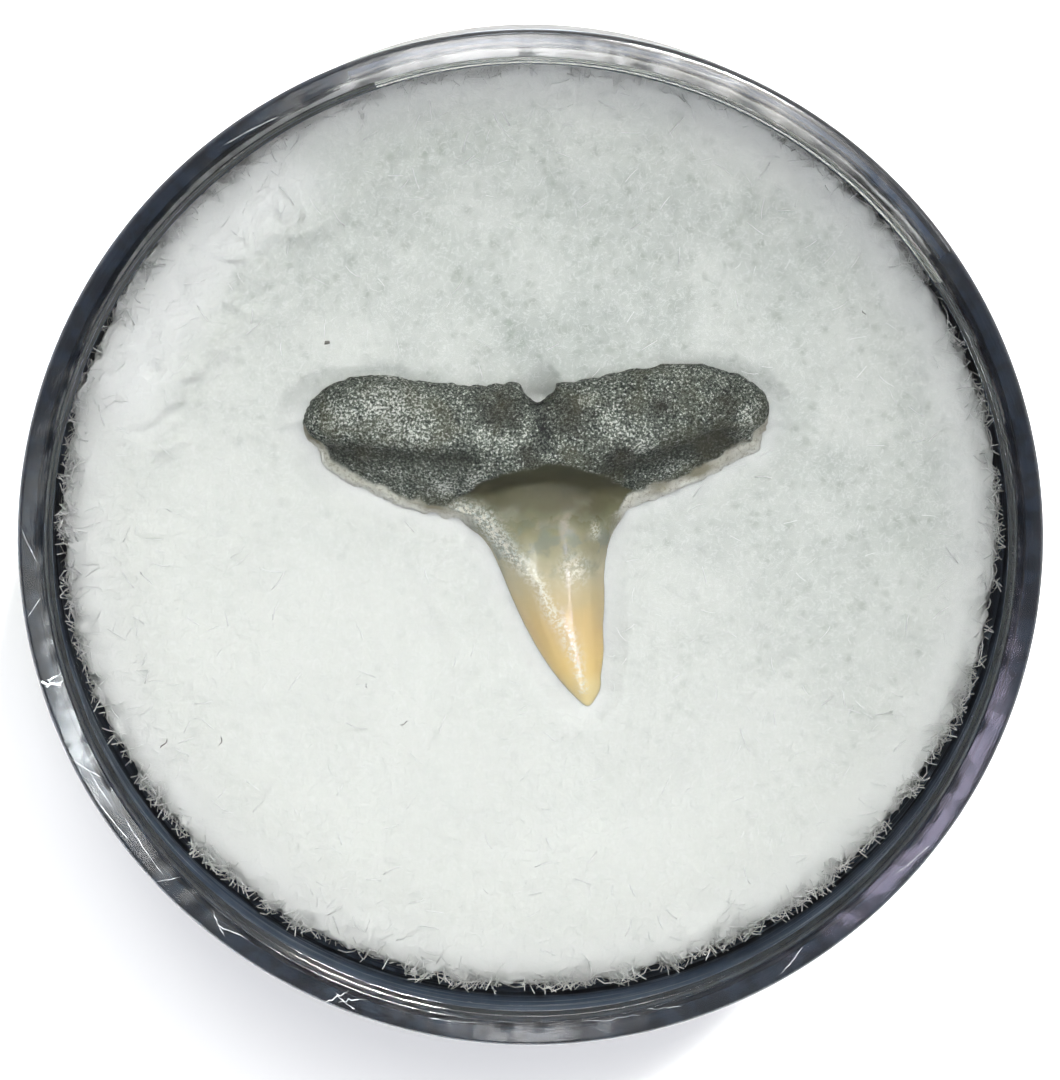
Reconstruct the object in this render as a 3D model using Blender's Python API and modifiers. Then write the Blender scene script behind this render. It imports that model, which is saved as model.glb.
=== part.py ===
"""A fossil lemon shark tooth on a round foam pad in a clear-topped display case.

Units are metres, +Z is up and the case stands on the plane Z = 0, its axis on the Z axis. The
tooth lies with its crown pointing to -Y and its lingual face, the one with the swollen root, up.
"""

import math

import bmesh
import bpy
from mathutils import Vector

MM = 0.001
SEGMENTS = 72
WELD = 1e-6
CLEARANCE = 0.3 * MM

# Case, outside sizes
CASE_RADIUS = 19.0 * MM
CASE_HEIGHT = 18.0 * MM

# Lid: a window set down inside a raised rim, its edge dropping into the cup, and a flange
RIM_INNER_RADIUS = 17.96 * MM
RIM_EDGE_ROUND = 0.3 * MM
RIM_STEP_RADIUS = 17.93 * MM
RIM_STEP_HEIGHT = 17.68 * MM
RIM_STEP_DROP = 0.06 * MM
WINDOW_RADIUS = 17.88 * MM
WINDOW_TOP = 17.4 * MM
WINDOW_THICKNESS = 1.2 * MM
WINDOW_UNDERSIDE = WINDOW_TOP - WINDOW_THICKNESS
FLANGE_BOTTOM = 17.3 * MM
PLUG_RADIUS = 18.3 * MM
EDGE_BEVEL = 0.15 * MM

# Base cup: a foot, and a wall with a rebate inside its top for the lid's window
FOOT_RADIUS = 17.5 * MM
FOOT_HEIGHT = 0.7 * MM
FOOT_BEVEL = 0.2 * MM
CUP_OUTER_RADIUS = 18.95 * MM
CUP_INNER_RADIUS = 18.3 * MM
REBATE_RADIUS = PLUG_RADIUS + CLEARANCE
REBATE_BOTTOM = WINDOW_UNDERSIDE - CLEARANCE
CUP_WALL_TOP = FLANGE_BOTTOM - CLEARANCE
CUP_FLOOR = 1.5 * MM
CUP_FILLET = 0.4 * MM

# Foam pad: a cut disc, pressed in under the tooth
PAD_RADIUS = 17.98 * MM
PAD_BOTTOM = CUP_FLOOR + CLEARANCE
PAD_TOP = 12.5 * MM
PAD_EDGE_ROUND = 0.5 * MM
PAD_RINGS = 14
PRESS_DEPTH = 1.6 * MM
PRESS_MARGIN = 0.55 * MM
PRESS_SLOPE = 3.6 * MM

# Tooth, seen from above: x, lower edge y, upper edge y and thickness of the root at each station
ROOT_STATIONS = (
    (-8.74, 3.60, 4.35, 0.55),
    (-8.45, 3.10, 4.85, 1.20),
    (-7.85, 2.15, 5.50, 1.90),
    (-6.80, 1.42, 6.00, 2.35),
    (-5.20, 0.80, 5.90, 2.60),
    (-3.80, 0.30, 5.70, 2.80),
    (-2.40, 0.05, 5.60, 2.95),
    (-0.80, 0.00, 5.72, 3.00),
    (0.80, 0.00, 5.67, 3.00),
    (2.40, 0.15, 5.90, 2.95),
    (3.90, 0.55, 6.24, 2.85),
    (5.30, 1.14, 6.46, 2.70),
    (6.60, 1.74, 6.38, 2.45),
    (7.80, 2.32, 6.08, 2.10),
    (8.74, 3.00, 5.45, 1.50),
    (9.12, 3.85, 4.80, 0.60),
)
# Root section: how far from the lower to the upper edge, and how far from underside to ridge
ROOT_SECTION = (
    (0.00, 0.24),
    (0.05, 0.33),
    (0.17, 0.42),
    (0.30, 0.70),
    (0.44, 0.95),
    (0.58, 1.00),
    (0.78, 0.90),
    (0.92, 0.72),
    (1.00, 0.45),
    (0.95, 0.18),
    (0.78, 0.04),
    (0.50, 0.00),
    (0.24, 0.05),
    (0.06, 0.14),
)
# Crown: y, left edge x, right edge x, thickness and height of its flat face above the underside
CROWN_STATIONS = (
    (2.60, -0.20, 2.00, 1.20, 0.75),
    (2.15, -1.40, 2.75, 2.05, 0.25),
    (1.25, -2.55, 3.40, 2.40, 0.06),
    (0.60, -3.30, 4.10, 2.25, 0.04),
    (0.10, -2.75, 3.55, 2.15, 0.05),
    (-0.45, -1.92, 3.24, 2.08, 0.07),
    (-1.30, -1.44, 2.99, 1.95, 0.10),
    (-2.43, -0.98, 2.92, 1.78, 0.16),
    (-3.82, -0.37, 2.82, 1.48, 0.26),
    (-5.11, 0.38, 2.74, 1.10, 0.40),
    (-5.97, 1.04, 2.64, 0.78, 0.52),
    (-6.60, 1.64, 2.50, 0.48, 0.64),
    (-7.02, 2.08, 2.30, 0.24, 0.74),
)
# Crown section: from one cutting edge to the other, and from the flat face to the lingual one
CROWN_SECTION = (
    (0.00, 0.30),
    (0.08, 0.55),
    (0.24, 0.86),
    (0.50, 1.00),
    (0.76, 0.86),
    (0.92, 0.55),
    (1.00, 0.30),
    (0.90, 0.12),
    (0.66, 0.00),
    (0.34, 0.00),
    (0.10, 0.12),
)
TOOTH_UNDERSIDE = PAD_TOP - PRESS_DEPTH + CLEARANCE

# Nutrient notch in the middle of the root's upper edge
NOTCH_CENTRE = (0.33 * MM, 5.5 * MM)
NOTCH_BOTTOM_RADIUS = 0.5 * MM
NOTCH_TOP_RADIUS = 0.85 * MM
NOTCH_LENGTH = 5.0 * MM


def clear_scene():
    """Remove what the start-up scene holds."""
    for obj in list(bpy.data.objects):
        bpy.data.objects.remove(obj)


def make_collection(name):
    """A new collection under the scene's own."""
    collection = bpy.data.collections.new(name)
    bpy.context.scene.collection.children.link(collection)
    return collection


def make_material(name, colour, roughness, alpha=1.0, transmission=0.0):
    """A Principled material with the given base colour."""
    material = bpy.data.materials.new(name)
    material.use_nodes = True
    shader = material.node_tree.nodes["Principled BSDF"]
    shader.inputs["Base Color"].default_value = (*colour, 1.0)
    shader.inputs["Roughness"].default_value = roughness
    shader.inputs["Alpha"].default_value = alpha
    shader.inputs["Transmission Weight"].default_value = transmission
    return material


def add_object(name, mesh, collection, material=None):
    """An object of the mesh, smooth shaded, in the collection."""
    obj = bpy.data.objects.new(name, mesh)
    collection.objects.link(obj)
    if material:
        mesh.materials.append(material)
    for polygon in mesh.polygons:
        polygon.use_smooth = True
    return obj


def evaluated_copy(obj):
    """The object's mesh with its modifiers applied."""
    graph = bpy.context.evaluated_depsgraph_get()
    return bpy.data.meshes.new_from_object(obj.evaluated_get(graph))


def turned(name, profile, collection, material):
    """A solid turned about Z from (radius, height) points, down its outer side."""
    mesh = bpy.data.meshes.new(name)
    edges = [(i, i + 1) for i in range(len(profile) - 1)]
    mesh.from_pydata([(radius, 0.0, height) for radius, height in profile], edges, [])
    obj = add_object(name, mesh, collection, material)
    screw = obj.modifiers.new("Turn", "SCREW")
    screw.axis = "Z"
    screw.steps = SEGMENTS
    screw.render_steps = SEGMENTS
    screw.use_merge_vertices = True
    screw.merge_threshold = WELD
    screw.use_smooth_shade = True
    return obj


def corner(radius, height, size, start):
    """Three points that round a convex corner: start is 'top' or 'side', the side met first."""
    diagonal = size * (1.0 - math.sqrt(0.5))
    points = [
        (radius - size, height),
        (radius - diagonal, height - diagonal),
        (radius, height - size),
    ]
    return points if start == "top" else points[::-1]


def lid_profile():
    """The lid's half section, from the window's middle round to its underside."""
    return [
        (0.0, WINDOW_TOP),
        (WINDOW_RADIUS, WINDOW_TOP),
        (WINDOW_RADIUS, RIM_STEP_HEIGHT - RIM_STEP_DROP),
        (RIM_STEP_RADIUS, RIM_STEP_HEIGHT),
        (RIM_INNER_RADIUS, CASE_HEIGHT - EDGE_BEVEL),
        (RIM_INNER_RADIUS + EDGE_BEVEL, CASE_HEIGHT),
        *corner(CASE_RADIUS, CASE_HEIGHT, RIM_EDGE_ROUND, "top"),
        (CASE_RADIUS, FLANGE_BOTTOM),
        (PLUG_RADIUS, FLANGE_BOTTOM),
        (PLUG_RADIUS, WINDOW_UNDERSIDE + EDGE_BEVEL),
        (PLUG_RADIUS - EDGE_BEVEL, WINDOW_UNDERSIDE),
        (0.0, WINDOW_UNDERSIDE),
    ]


def base_profile():
    """The base cup's half section, from the middle of its floor round to its foot."""
    return [
        (0.0, CUP_FLOOR),
        (CUP_INNER_RADIUS - CUP_FILLET, CUP_FLOOR),
        (CUP_INNER_RADIUS, CUP_FLOOR + CUP_FILLET),
        (CUP_INNER_RADIUS, REBATE_BOTTOM),
        (REBATE_RADIUS, REBATE_BOTTOM),
        (REBATE_RADIUS, CUP_WALL_TOP),
        (CUP_OUTER_RADIUS - EDGE_BEVEL, CUP_WALL_TOP),
        (CUP_OUTER_RADIUS, CUP_WALL_TOP - EDGE_BEVEL),
        (CUP_OUTER_RADIUS, FOOT_HEIGHT + EDGE_BEVEL),
        (CUP_OUTER_RADIUS - EDGE_BEVEL, FOOT_HEIGHT),
        (FOOT_RADIUS, FOOT_HEIGHT),
        (FOOT_RADIUS, FOOT_BEVEL),
        (FOOT_RADIUS - FOOT_BEVEL, 0.0),
        (0.0, 0.0),
    ]


def pad_profile():
    """The foam pad's half section, with enough points along its top to be pressed in."""
    flat_radius = PAD_RADIUS - PAD_EDGE_ROUND
    top = [(flat_radius * i / PAD_RINGS, PAD_TOP) for i in range(PAD_RINGS)]
    return [
        *top,
        *corner(PAD_RADIUS, PAD_TOP, PAD_EDGE_ROUND, "top"),
        (PAD_RADIUS, PAD_BOTTOM + CUP_FILLET),
        (PAD_RADIUS - CUP_FILLET, PAD_BOTTOM),
        (0.0, PAD_BOTTOM),
    ]


def distance_to_tooth(x, y):
    """How far a point of the pad lies outside the tooth's outline, about, in metres."""
    nearest = math.inf
    for rows, along, low, high in ((ROOT_STATIONS, 0, 1, 2), (CROWN_STATIONS, 0, 1, 2)):
        here, across = (x, y) if rows is ROOT_STATIONS else (y, x)
        for first, second in zip(rows, rows[1:]):
            ends = sorted((first[along] * MM, second[along] * MM))
            beyond = max(ends[0] - here, here - ends[1], 0.0)
            lower = min(first[low], second[low]) * MM
            upper = max(first[high], second[high]) * MM
            beside = max(lower - across, across - upper, 0.0)
            nearest = min(nearest, math.hypot(beyond, beside))
    return nearest


def press(x, y):
    """How far the tooth pushes the pad's top down at this point."""
    reach = (distance_to_tooth(x, y) - PRESS_MARGIN) / PRESS_SLOPE
    share = 1.0 - min(max(reach, 0.0), 1.0)
    return PRESS_DEPTH * share * share * (3.0 - 2.0 * share)


def build_pad(collection, material):
    """The pad: turned, then its top pressed in under the tooth."""
    pad = turned("foam_pad", pad_profile(), collection, material)
    mesh = evaluated_copy(pad)
    pad.modifiers.clear()
    pad.data = mesh
    for vertex in mesh.vertices:
        if vertex.co.z > PAD_TOP - WELD:
            vertex.co.z -= press(vertex.co.x, vertex.co.y)
    return pad


def loft(name, sections, collection, material=None):
    """A closed solid through sections that have the same number of points."""
    shape = bmesh.new()
    rings = [[shape.verts.new(point) for point in section] for section in sections]
    count = len(rings[0])
    for first, second in zip(rings, rings[1:]):
        for i in range(count):
            j = (i + 1) % count
            shape.faces.new((first[i], first[j], second[j], second[i]))
    shape.faces.new(rings[0])
    shape.faces.new(rings[-1])
    bmesh.ops.recalc_face_normals(shape, faces=shape.faces)
    mesh = bpy.data.meshes.new(name)
    shape.to_mesh(mesh)
    shape.free()
    return add_object(name, mesh, collection, material)


def root_sections():
    """Upright sections of the root, from the left lobe's end to the right one's."""
    thickest = max(row[3] for row in ROOT_STATIONS)
    sections = []
    for x, lower, upper, thickness in ROOT_STATIONS:
        lift = 0.22 * (thickest - thickness)
        section = [
            Vector((x, lower + across * (upper - lower), lift + rise * thickness)) * MM
            for across, rise in ROOT_SECTION
        ]
        sections.append([point + Vector((0, 0, TOOTH_UNDERSIDE)) for point in section])
    return sections


def crown_sections():
    """Upright sections of the crown, from inside the root to the tip."""
    sections = []
    for y, left, right, thickness, lift in CROWN_STATIONS:
        section = [
            Vector((left + across * (right - left), y, lift + rise * thickness)) * MM
            for across, rise in CROWN_SECTION
        ]
        sections.append([point + Vector((0, 0, TOOTH_UNDERSIDE)) for point in section])
    return sections


def smooth(obj, levels=1):
    """Add a subdivision surface."""
    modifier = obj.modifiers.new("Smooth", "SUBSURF")
    modifier.levels = levels
    modifier.render_levels = levels


def boolean(obj, other, operation):
    """Add an exact Boolean with the other object."""
    modifier = obj.modifiers.new(operation.title(), "BOOLEAN")
    modifier.operation = operation
    modifier.solver = "EXACT"
    modifier.object = other


def hide(obj):
    """Keep a helper out of the model."""
    obj.hide_render = True
    obj.display_type = "WIRE"


def build_tooth(collection, cutters, material):
    """The tooth: a lobed root with a blade of a crown grown out of it, notched at the top."""
    tooth = loft("tooth", root_sections(), collection, material)
    smooth(tooth)
    crown = loft("crown_form", crown_sections(), cutters)
    smooth(crown)
    hide(crown)
    boolean(tooth, crown, "UNION")
    shape = bmesh.new()
    bmesh.ops.create_cone(
        shape,
        cap_ends=True,
        segments=16,
        radius1=NOTCH_BOTTOM_RADIUS,
        radius2=NOTCH_TOP_RADIUS,
        depth=NOTCH_LENGTH,
    )
    bmesh.ops.translate(
        shape,
        verts=shape.verts,
        vec=(*NOTCH_CENTRE, TOOTH_UNDERSIDE + NOTCH_LENGTH / 2 - MM),
    )
    mesh = bpy.data.meshes.new("notch_cutter")
    shape.to_mesh(mesh)
    shape.free()
    notch = add_object("notch_cutter", mesh, cutters)
    hide(notch)
    boolean(tooth, notch, "DIFFERENCE")
    return tooth


def main():
    """Build the case, the pad and the tooth."""
    clear_scene()
    parts = make_collection("fossil_tooth_case")
    cutters = make_collection("cutters")
    clear = make_material("clear_plastic", (0.9, 0.93, 0.95), 0.05, 0.3, 1.0)
    black = make_material("black_plastic", (0.02, 0.022, 0.026), 0.25)
    foam = make_material("white_foam", (0.78, 0.8, 0.77), 0.95)
    enamel = make_material("fossil_tooth", (0.1, 0.105, 0.09), 0.6)
    turned("base_cup", base_profile(), parts, black)
    build_pad(parts, foam)
    build_tooth(parts, cutters, enamel)
    turned("lid", lid_profile(), parts, clear)


if __name__ == "__main__":
    main()
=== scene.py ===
"""Looks for a fossil lemon shark tooth lying on a foam pad in a round display case.

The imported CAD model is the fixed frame. Four detailed pieces stand for its four nodes: the carved
tooth, the open-cell foam pad, the clear lid and the black base cup. Loose foam struts, lint and
scratches are pieces of their own. Everything is in metres, +Z up.
"""

import logging
import math
from dataclasses import dataclass, field
from enum import Enum
from functools import reduce

import bmesh
import bpy
import numpy as np
from mathutils import Matrix, Vector
from mathutils.kdtree import KDTree


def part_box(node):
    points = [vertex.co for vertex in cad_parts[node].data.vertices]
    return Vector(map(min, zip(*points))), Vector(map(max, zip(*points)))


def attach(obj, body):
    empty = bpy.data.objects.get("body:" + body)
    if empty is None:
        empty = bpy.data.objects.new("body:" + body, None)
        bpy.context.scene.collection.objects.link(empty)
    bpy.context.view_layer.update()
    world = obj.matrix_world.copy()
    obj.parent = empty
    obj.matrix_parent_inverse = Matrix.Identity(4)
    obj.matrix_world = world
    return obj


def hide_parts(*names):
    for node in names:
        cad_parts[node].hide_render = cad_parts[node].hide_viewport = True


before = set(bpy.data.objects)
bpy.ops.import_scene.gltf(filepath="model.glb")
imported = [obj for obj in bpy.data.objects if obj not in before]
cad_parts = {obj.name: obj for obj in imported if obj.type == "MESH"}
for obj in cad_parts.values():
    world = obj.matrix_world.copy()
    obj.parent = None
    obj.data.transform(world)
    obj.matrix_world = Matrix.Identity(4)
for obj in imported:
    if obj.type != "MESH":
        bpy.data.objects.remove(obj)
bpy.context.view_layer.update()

MM = 0.001
BODY = "root"
LATTICE_SIDE = 32
FAR = 9.0
UP = Vector((0.0, 0.0, 1.0))

log = logging.getLogger("display_case")

Socket = bpy.types.NodeSocket
Feed = Socket | float | tuple | None
Colour = tuple[float, float, float, float]
Path = tuple[tuple[float, float], ...]
Profile = list[tuple[float, float]]
Faces = list[tuple[int, ...]]


class Slot(Enum):
    """The record's material slots."""

    TOOTH = "fossil_tooth"
    FOAM = "white_foam"
    CLEAR = "clear_plastic"
    BLACK = "black_plastic"


def srgb(*screen: float) -> Colour:
    """Linear colour of a screen colour.

    Args:
        screen: red, green and blue, 0 to 255.

    Returns:
        The linear colour with full alpha.
    """
    shares = [value / 255.0 for value in screen]
    linear = (s / 12.92 if s <= 0.04045 else ((s + 0.055) / 1.055) ** 2.4 for s in shares)
    return (*linear, 1.0)


def smoothstep(low: float, high: float, value: np.ndarray) -> np.ndarray:
    """A smooth rise from 0 to 1 of values between a low and a high one."""
    share = np.clip((value - low) / (high - low), 0.0, 1.0)
    return share * share * (3.0 - 2.0 * share)


def mound(distance: np.ndarray, width: float | np.ndarray) -> np.ndarray:
    """A soft mound of a width: 1 at its middle, towards 0 with distance."""
    return np.exp(-((distance / width) ** 2))


def reach_of(rows: np.ndarray) -> np.ndarray:
    """Distance of each row from the case's axis."""
    return np.linalg.norm(rows[:, :2], axis=1)


def bearing_of(rows: np.ndarray) -> np.ndarray:
    """Bearing of each row round the case's axis, in degrees."""
    return np.degrees(np.arctan2(rows[:, 1], rows[:, 0]))


def layered(seed: int, cell: float, octaves: int, points: np.ndarray) -> np.ndarray:
    """Several sizes of smooth lattice noise, each half as large and strong as the one before.

    Args:
        seed: seed of the first size's lattice.
        cell: its cell size, in the points' units.
        octaves: how many sizes.
        points: rows of x, y, z.

    Returns:
        One value for each row, about -1 to 1.
    """
    total = np.zeros(len(points))
    for octave in range(octaves):
        values = np.random.default_rng(seed + octave).random((LATTICE_SIDE,) * 3) * 2.0 - 1.0
        scaled = points / (cell / 2**octave)
        base = np.floor(scaled).astype(int)
        part = scaled - base
        part = part * part * (3.0 - 2.0 * part)
        for corner in np.ndindex(2, 2, 2):
            x, y, z = ((base + corner) % LATTICE_SIDE).T
            weight = np.prod(np.where(corner, part, 1.0 - part), axis=1)
            total += weight * values[x, y, z] / 2**octave
    return total


def nearest(seed: int, cell: float, points: np.ndarray) -> np.ndarray:
    """Distance to the nearest of jittered points, one for each cell.

    Args:
        seed: seed of the jitter.
        cell: cell size, in the points' units.
        points: rows of x, y, z.

    Returns:
        The distance for each row, in cells.
    """
    jitter = np.random.default_rng(seed).random((LATTICE_SIDE,) * 3 + (3,))
    scaled = points / cell
    base = np.floor(scaled).astype(int)
    least = np.full(len(points), FAR)
    for step in np.ndindex(3, 3, 3):
        here = base + np.array(step) - 1
        x, y, z = (here % LATTICE_SIDE).T
        least = np.minimum(least, np.linalg.norm(here + jitter[x, y, z] - scaled, axis=1))
    return least


def path_distance(points: np.ndarray, path: Path) -> np.ndarray:
    """Distance in plan from each point to a path.

    Args:
        points: rows that start with x, y.
        path: corners of the path, in the same units.

    Returns:
        One distance for each row.
    """
    corners = np.array(path, float)
    least = np.full(len(points), np.inf)
    for start, end in zip(corners, corners[1:]):
        run = end - start
        share = np.clip(((points[:, :2] - start) @ run) / (run @ run), 0.0, 1.0)
        foot = start + share[:, None] * run
        least = np.minimum(least, np.linalg.norm(points[:, :2] - foot, axis=1))
    return least


class NodeSketch:
    """A node tree with short calls for adding and feeding nodes."""

    def __init__(self, tree: bpy.types.NodeTree) -> None:
        """Keep the tree that nodes go into."""
        self.tree = tree

    def feed(self, socket: Socket, value: Feed) -> None:
        """Link a socket or set its value.

        Args:
            socket: the input socket.
            value: an output socket to link, a value to set, or None to leave it.
        """
        if isinstance(value, Socket):
            self.tree.links.new(value, socket)
        elif value is not None:
            socket.default_value = value

    def add(self, kind: str, feeds: dict | None = None, **settings: object) -> bpy.types.Node:
        """Add a node.

        Args:
            kind: the node's type name.
            feeds: what goes into each input, by name or index.
            settings: the node's own properties.

        Returns:
            The new node.
        """
        node = self.tree.nodes.new(kind)
        for name, value in settings.items():
            setattr(node, name, value)
        for name, value in (feeds or {}).items():
            self.feed(node.inputs[name], value)
        return node

    def math(self, operation: str, *values: Feed) -> Socket:
        """The result of a named operation on its values."""
        return self.add("ShaderNodeMath", dict(enumerate(values)), operation=operation).outputs[0]

    def times(self, *values: Feed) -> Socket:
        """Values multiplied together."""
        return reduce(lambda first, second: self.math("MULTIPLY", first, second), values)

    def total(self, start: float, *parts: tuple[Feed, float]) -> Socket:
        """A start value with values and their weights added to it."""
        return reduce(lambda so_far, part: self.math("MULTIPLY_ADD", *part, so_far), parts, start)

    def range(
        self, value: Feed, low: float, high: float, to_low: float = 0.0, to_high: float = 1.0
    ) -> Socket:
        """A smooth clamp of a value from low and high to two other values."""
        feeds = dict(enumerate((value, low, high, to_low, to_high)))
        return self.add("ShaderNodeMapRange", feeds, interpolation_type="SMOOTHSTEP").outputs[0]


class Paint(NodeSketch):
    """A material drawn around one Principled shader, with patterns placed in millimetres."""

    def __init__(self, name: str) -> None:
        """Start an empty material.

        Args:
            name: the material's name.
        """
        self.material = bpy.data.materials.new(name)
        self.material.use_nodes = True
        super().__init__(self.material.node_tree)
        self.tree.nodes.clear()
        self.shader = self.add("ShaderNodeBsdfPrincipled")
        self.add("ShaderNodeOutputMaterial", {"Surface": self.shader.outputs[0]})
        self.source = self.add("ShaderNodeTexCoord").outputs
        self.place = self.scaled("Object", (1 / MM,) * 3)

    def scaled(self, coordinates: str, scale: tuple[float, float, float]) -> Socket:
        """The piece's Object or UV coordinates, scaled."""
        feeds = {"Vector": self.source[coordinates], "Scale": scale}
        return self.add("ShaderNodeMapping", feeds).outputs[0]

    def finish(self, **values: Feed) -> bpy.types.Material:
        """Feed the shader and give the material.

        Args:
            values: what goes into each input, named with underscores for spaces.

        Returns:
            The material.
        """
        for name, value in values.items():
            self.feed(self.shader.inputs[name.replace("_", " ")], value)
        return self.material

    def noise(
        self,
        per_mm: float,
        detail: float = 2.0,
        rough: float = 0.5,
        swirl: float = 0.0,
        where: Feed = None,
    ) -> Socket:
        """Fractal noise.

        Args:
            per_mm: features in a millimetre.
            detail: octaves.
            rough: strength of the finer octaves.
            swirl: distortion.
            where: coordinates, or None for the place.

        Returns:
            The noise's value.
        """
        feeds = {
            "Vector": where or self.place,
            "Scale": per_mm,
            "Detail": detail,
            "Roughness": rough,
            "Distortion": swirl,
        }
        return self.add("ShaderNodeTexNoise", feeds).outputs[0]

    def cells(self, per_mm: float, bend_per_mm: float, bend_mm: float) -> Socket:
        """Distance in a pattern of bent cells.

        Args:
            per_mm: cells in a millimetre.
            bend_per_mm: features in a millimetre of the noise that bends them.
            bend_mm: how far it pushes.

        Returns:
            The distance.
        """
        noise = self.add("ShaderNodeTexNoise", {"Vector": self.place, "Scale": bend_per_mm})
        feeds = {0: noise.outputs["Color"], 1: (bend_mm,) * 3, 2: self.place}
        where = self.add("ShaderNodeVectorMath", feeds, operation="MULTIPLY_ADD").outputs[0]
        feeds = {"Vector": where, "Scale": per_mm}
        return self.add("ShaderNodeTexVoronoi", feeds).outputs["Distance"]

    def attribute(self, name: str) -> Socket:
        """A value stored on the mesh's points."""
        return self.add("ShaderNodeAttribute", attribute_name=name).outputs["Fac"]

    def ramp(self, value: Feed, stops: tuple[tuple[float, Colour], ...]) -> Socket:
        """A colour ramp.

        Args:
            value: where along the ramp.
            stops: position and colour of each stop, in order.

        Returns:
            The colour.
        """
        node = self.add("ShaderNodeValToRGB", {0: value})
        elements = node.color_ramp.elements
        while len(elements) < len(stops):
            elements.new(0.5)
        for element, (position, colour) in zip(elements, stops):
            element.position, element.color = position, colour
        return node.outputs[0]

    def lay(self, under: Feed, over: Feed, share: Feed, most: float | None = None) -> Socket:
        """One colour laid over another.

        Args:
            under: the lower colour.
            over: the upper colour.
            share: how much of the upper colour.
            most: what the share is multiplied by, or None for 1.

        Returns:
            The mixed colour.
        """
        share = share if most is None else self.times(share, most)
        feeds = {0: share, 6: under, 7: over}
        return self.add("ShaderNodeMix", feeds, data_type="RGBA").outputs[2]

    def bump(self, height: Feed, depth_mm: float, strength: float) -> Socket:
        """A normal bent by a height of 0 to 1, so deep in millimetres and so strong."""
        feeds = {"Height": height, "Distance": depth_mm * MM, "Strength": strength}
        return self.add("ShaderNodeBump", feeds).outputs[0]


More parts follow.
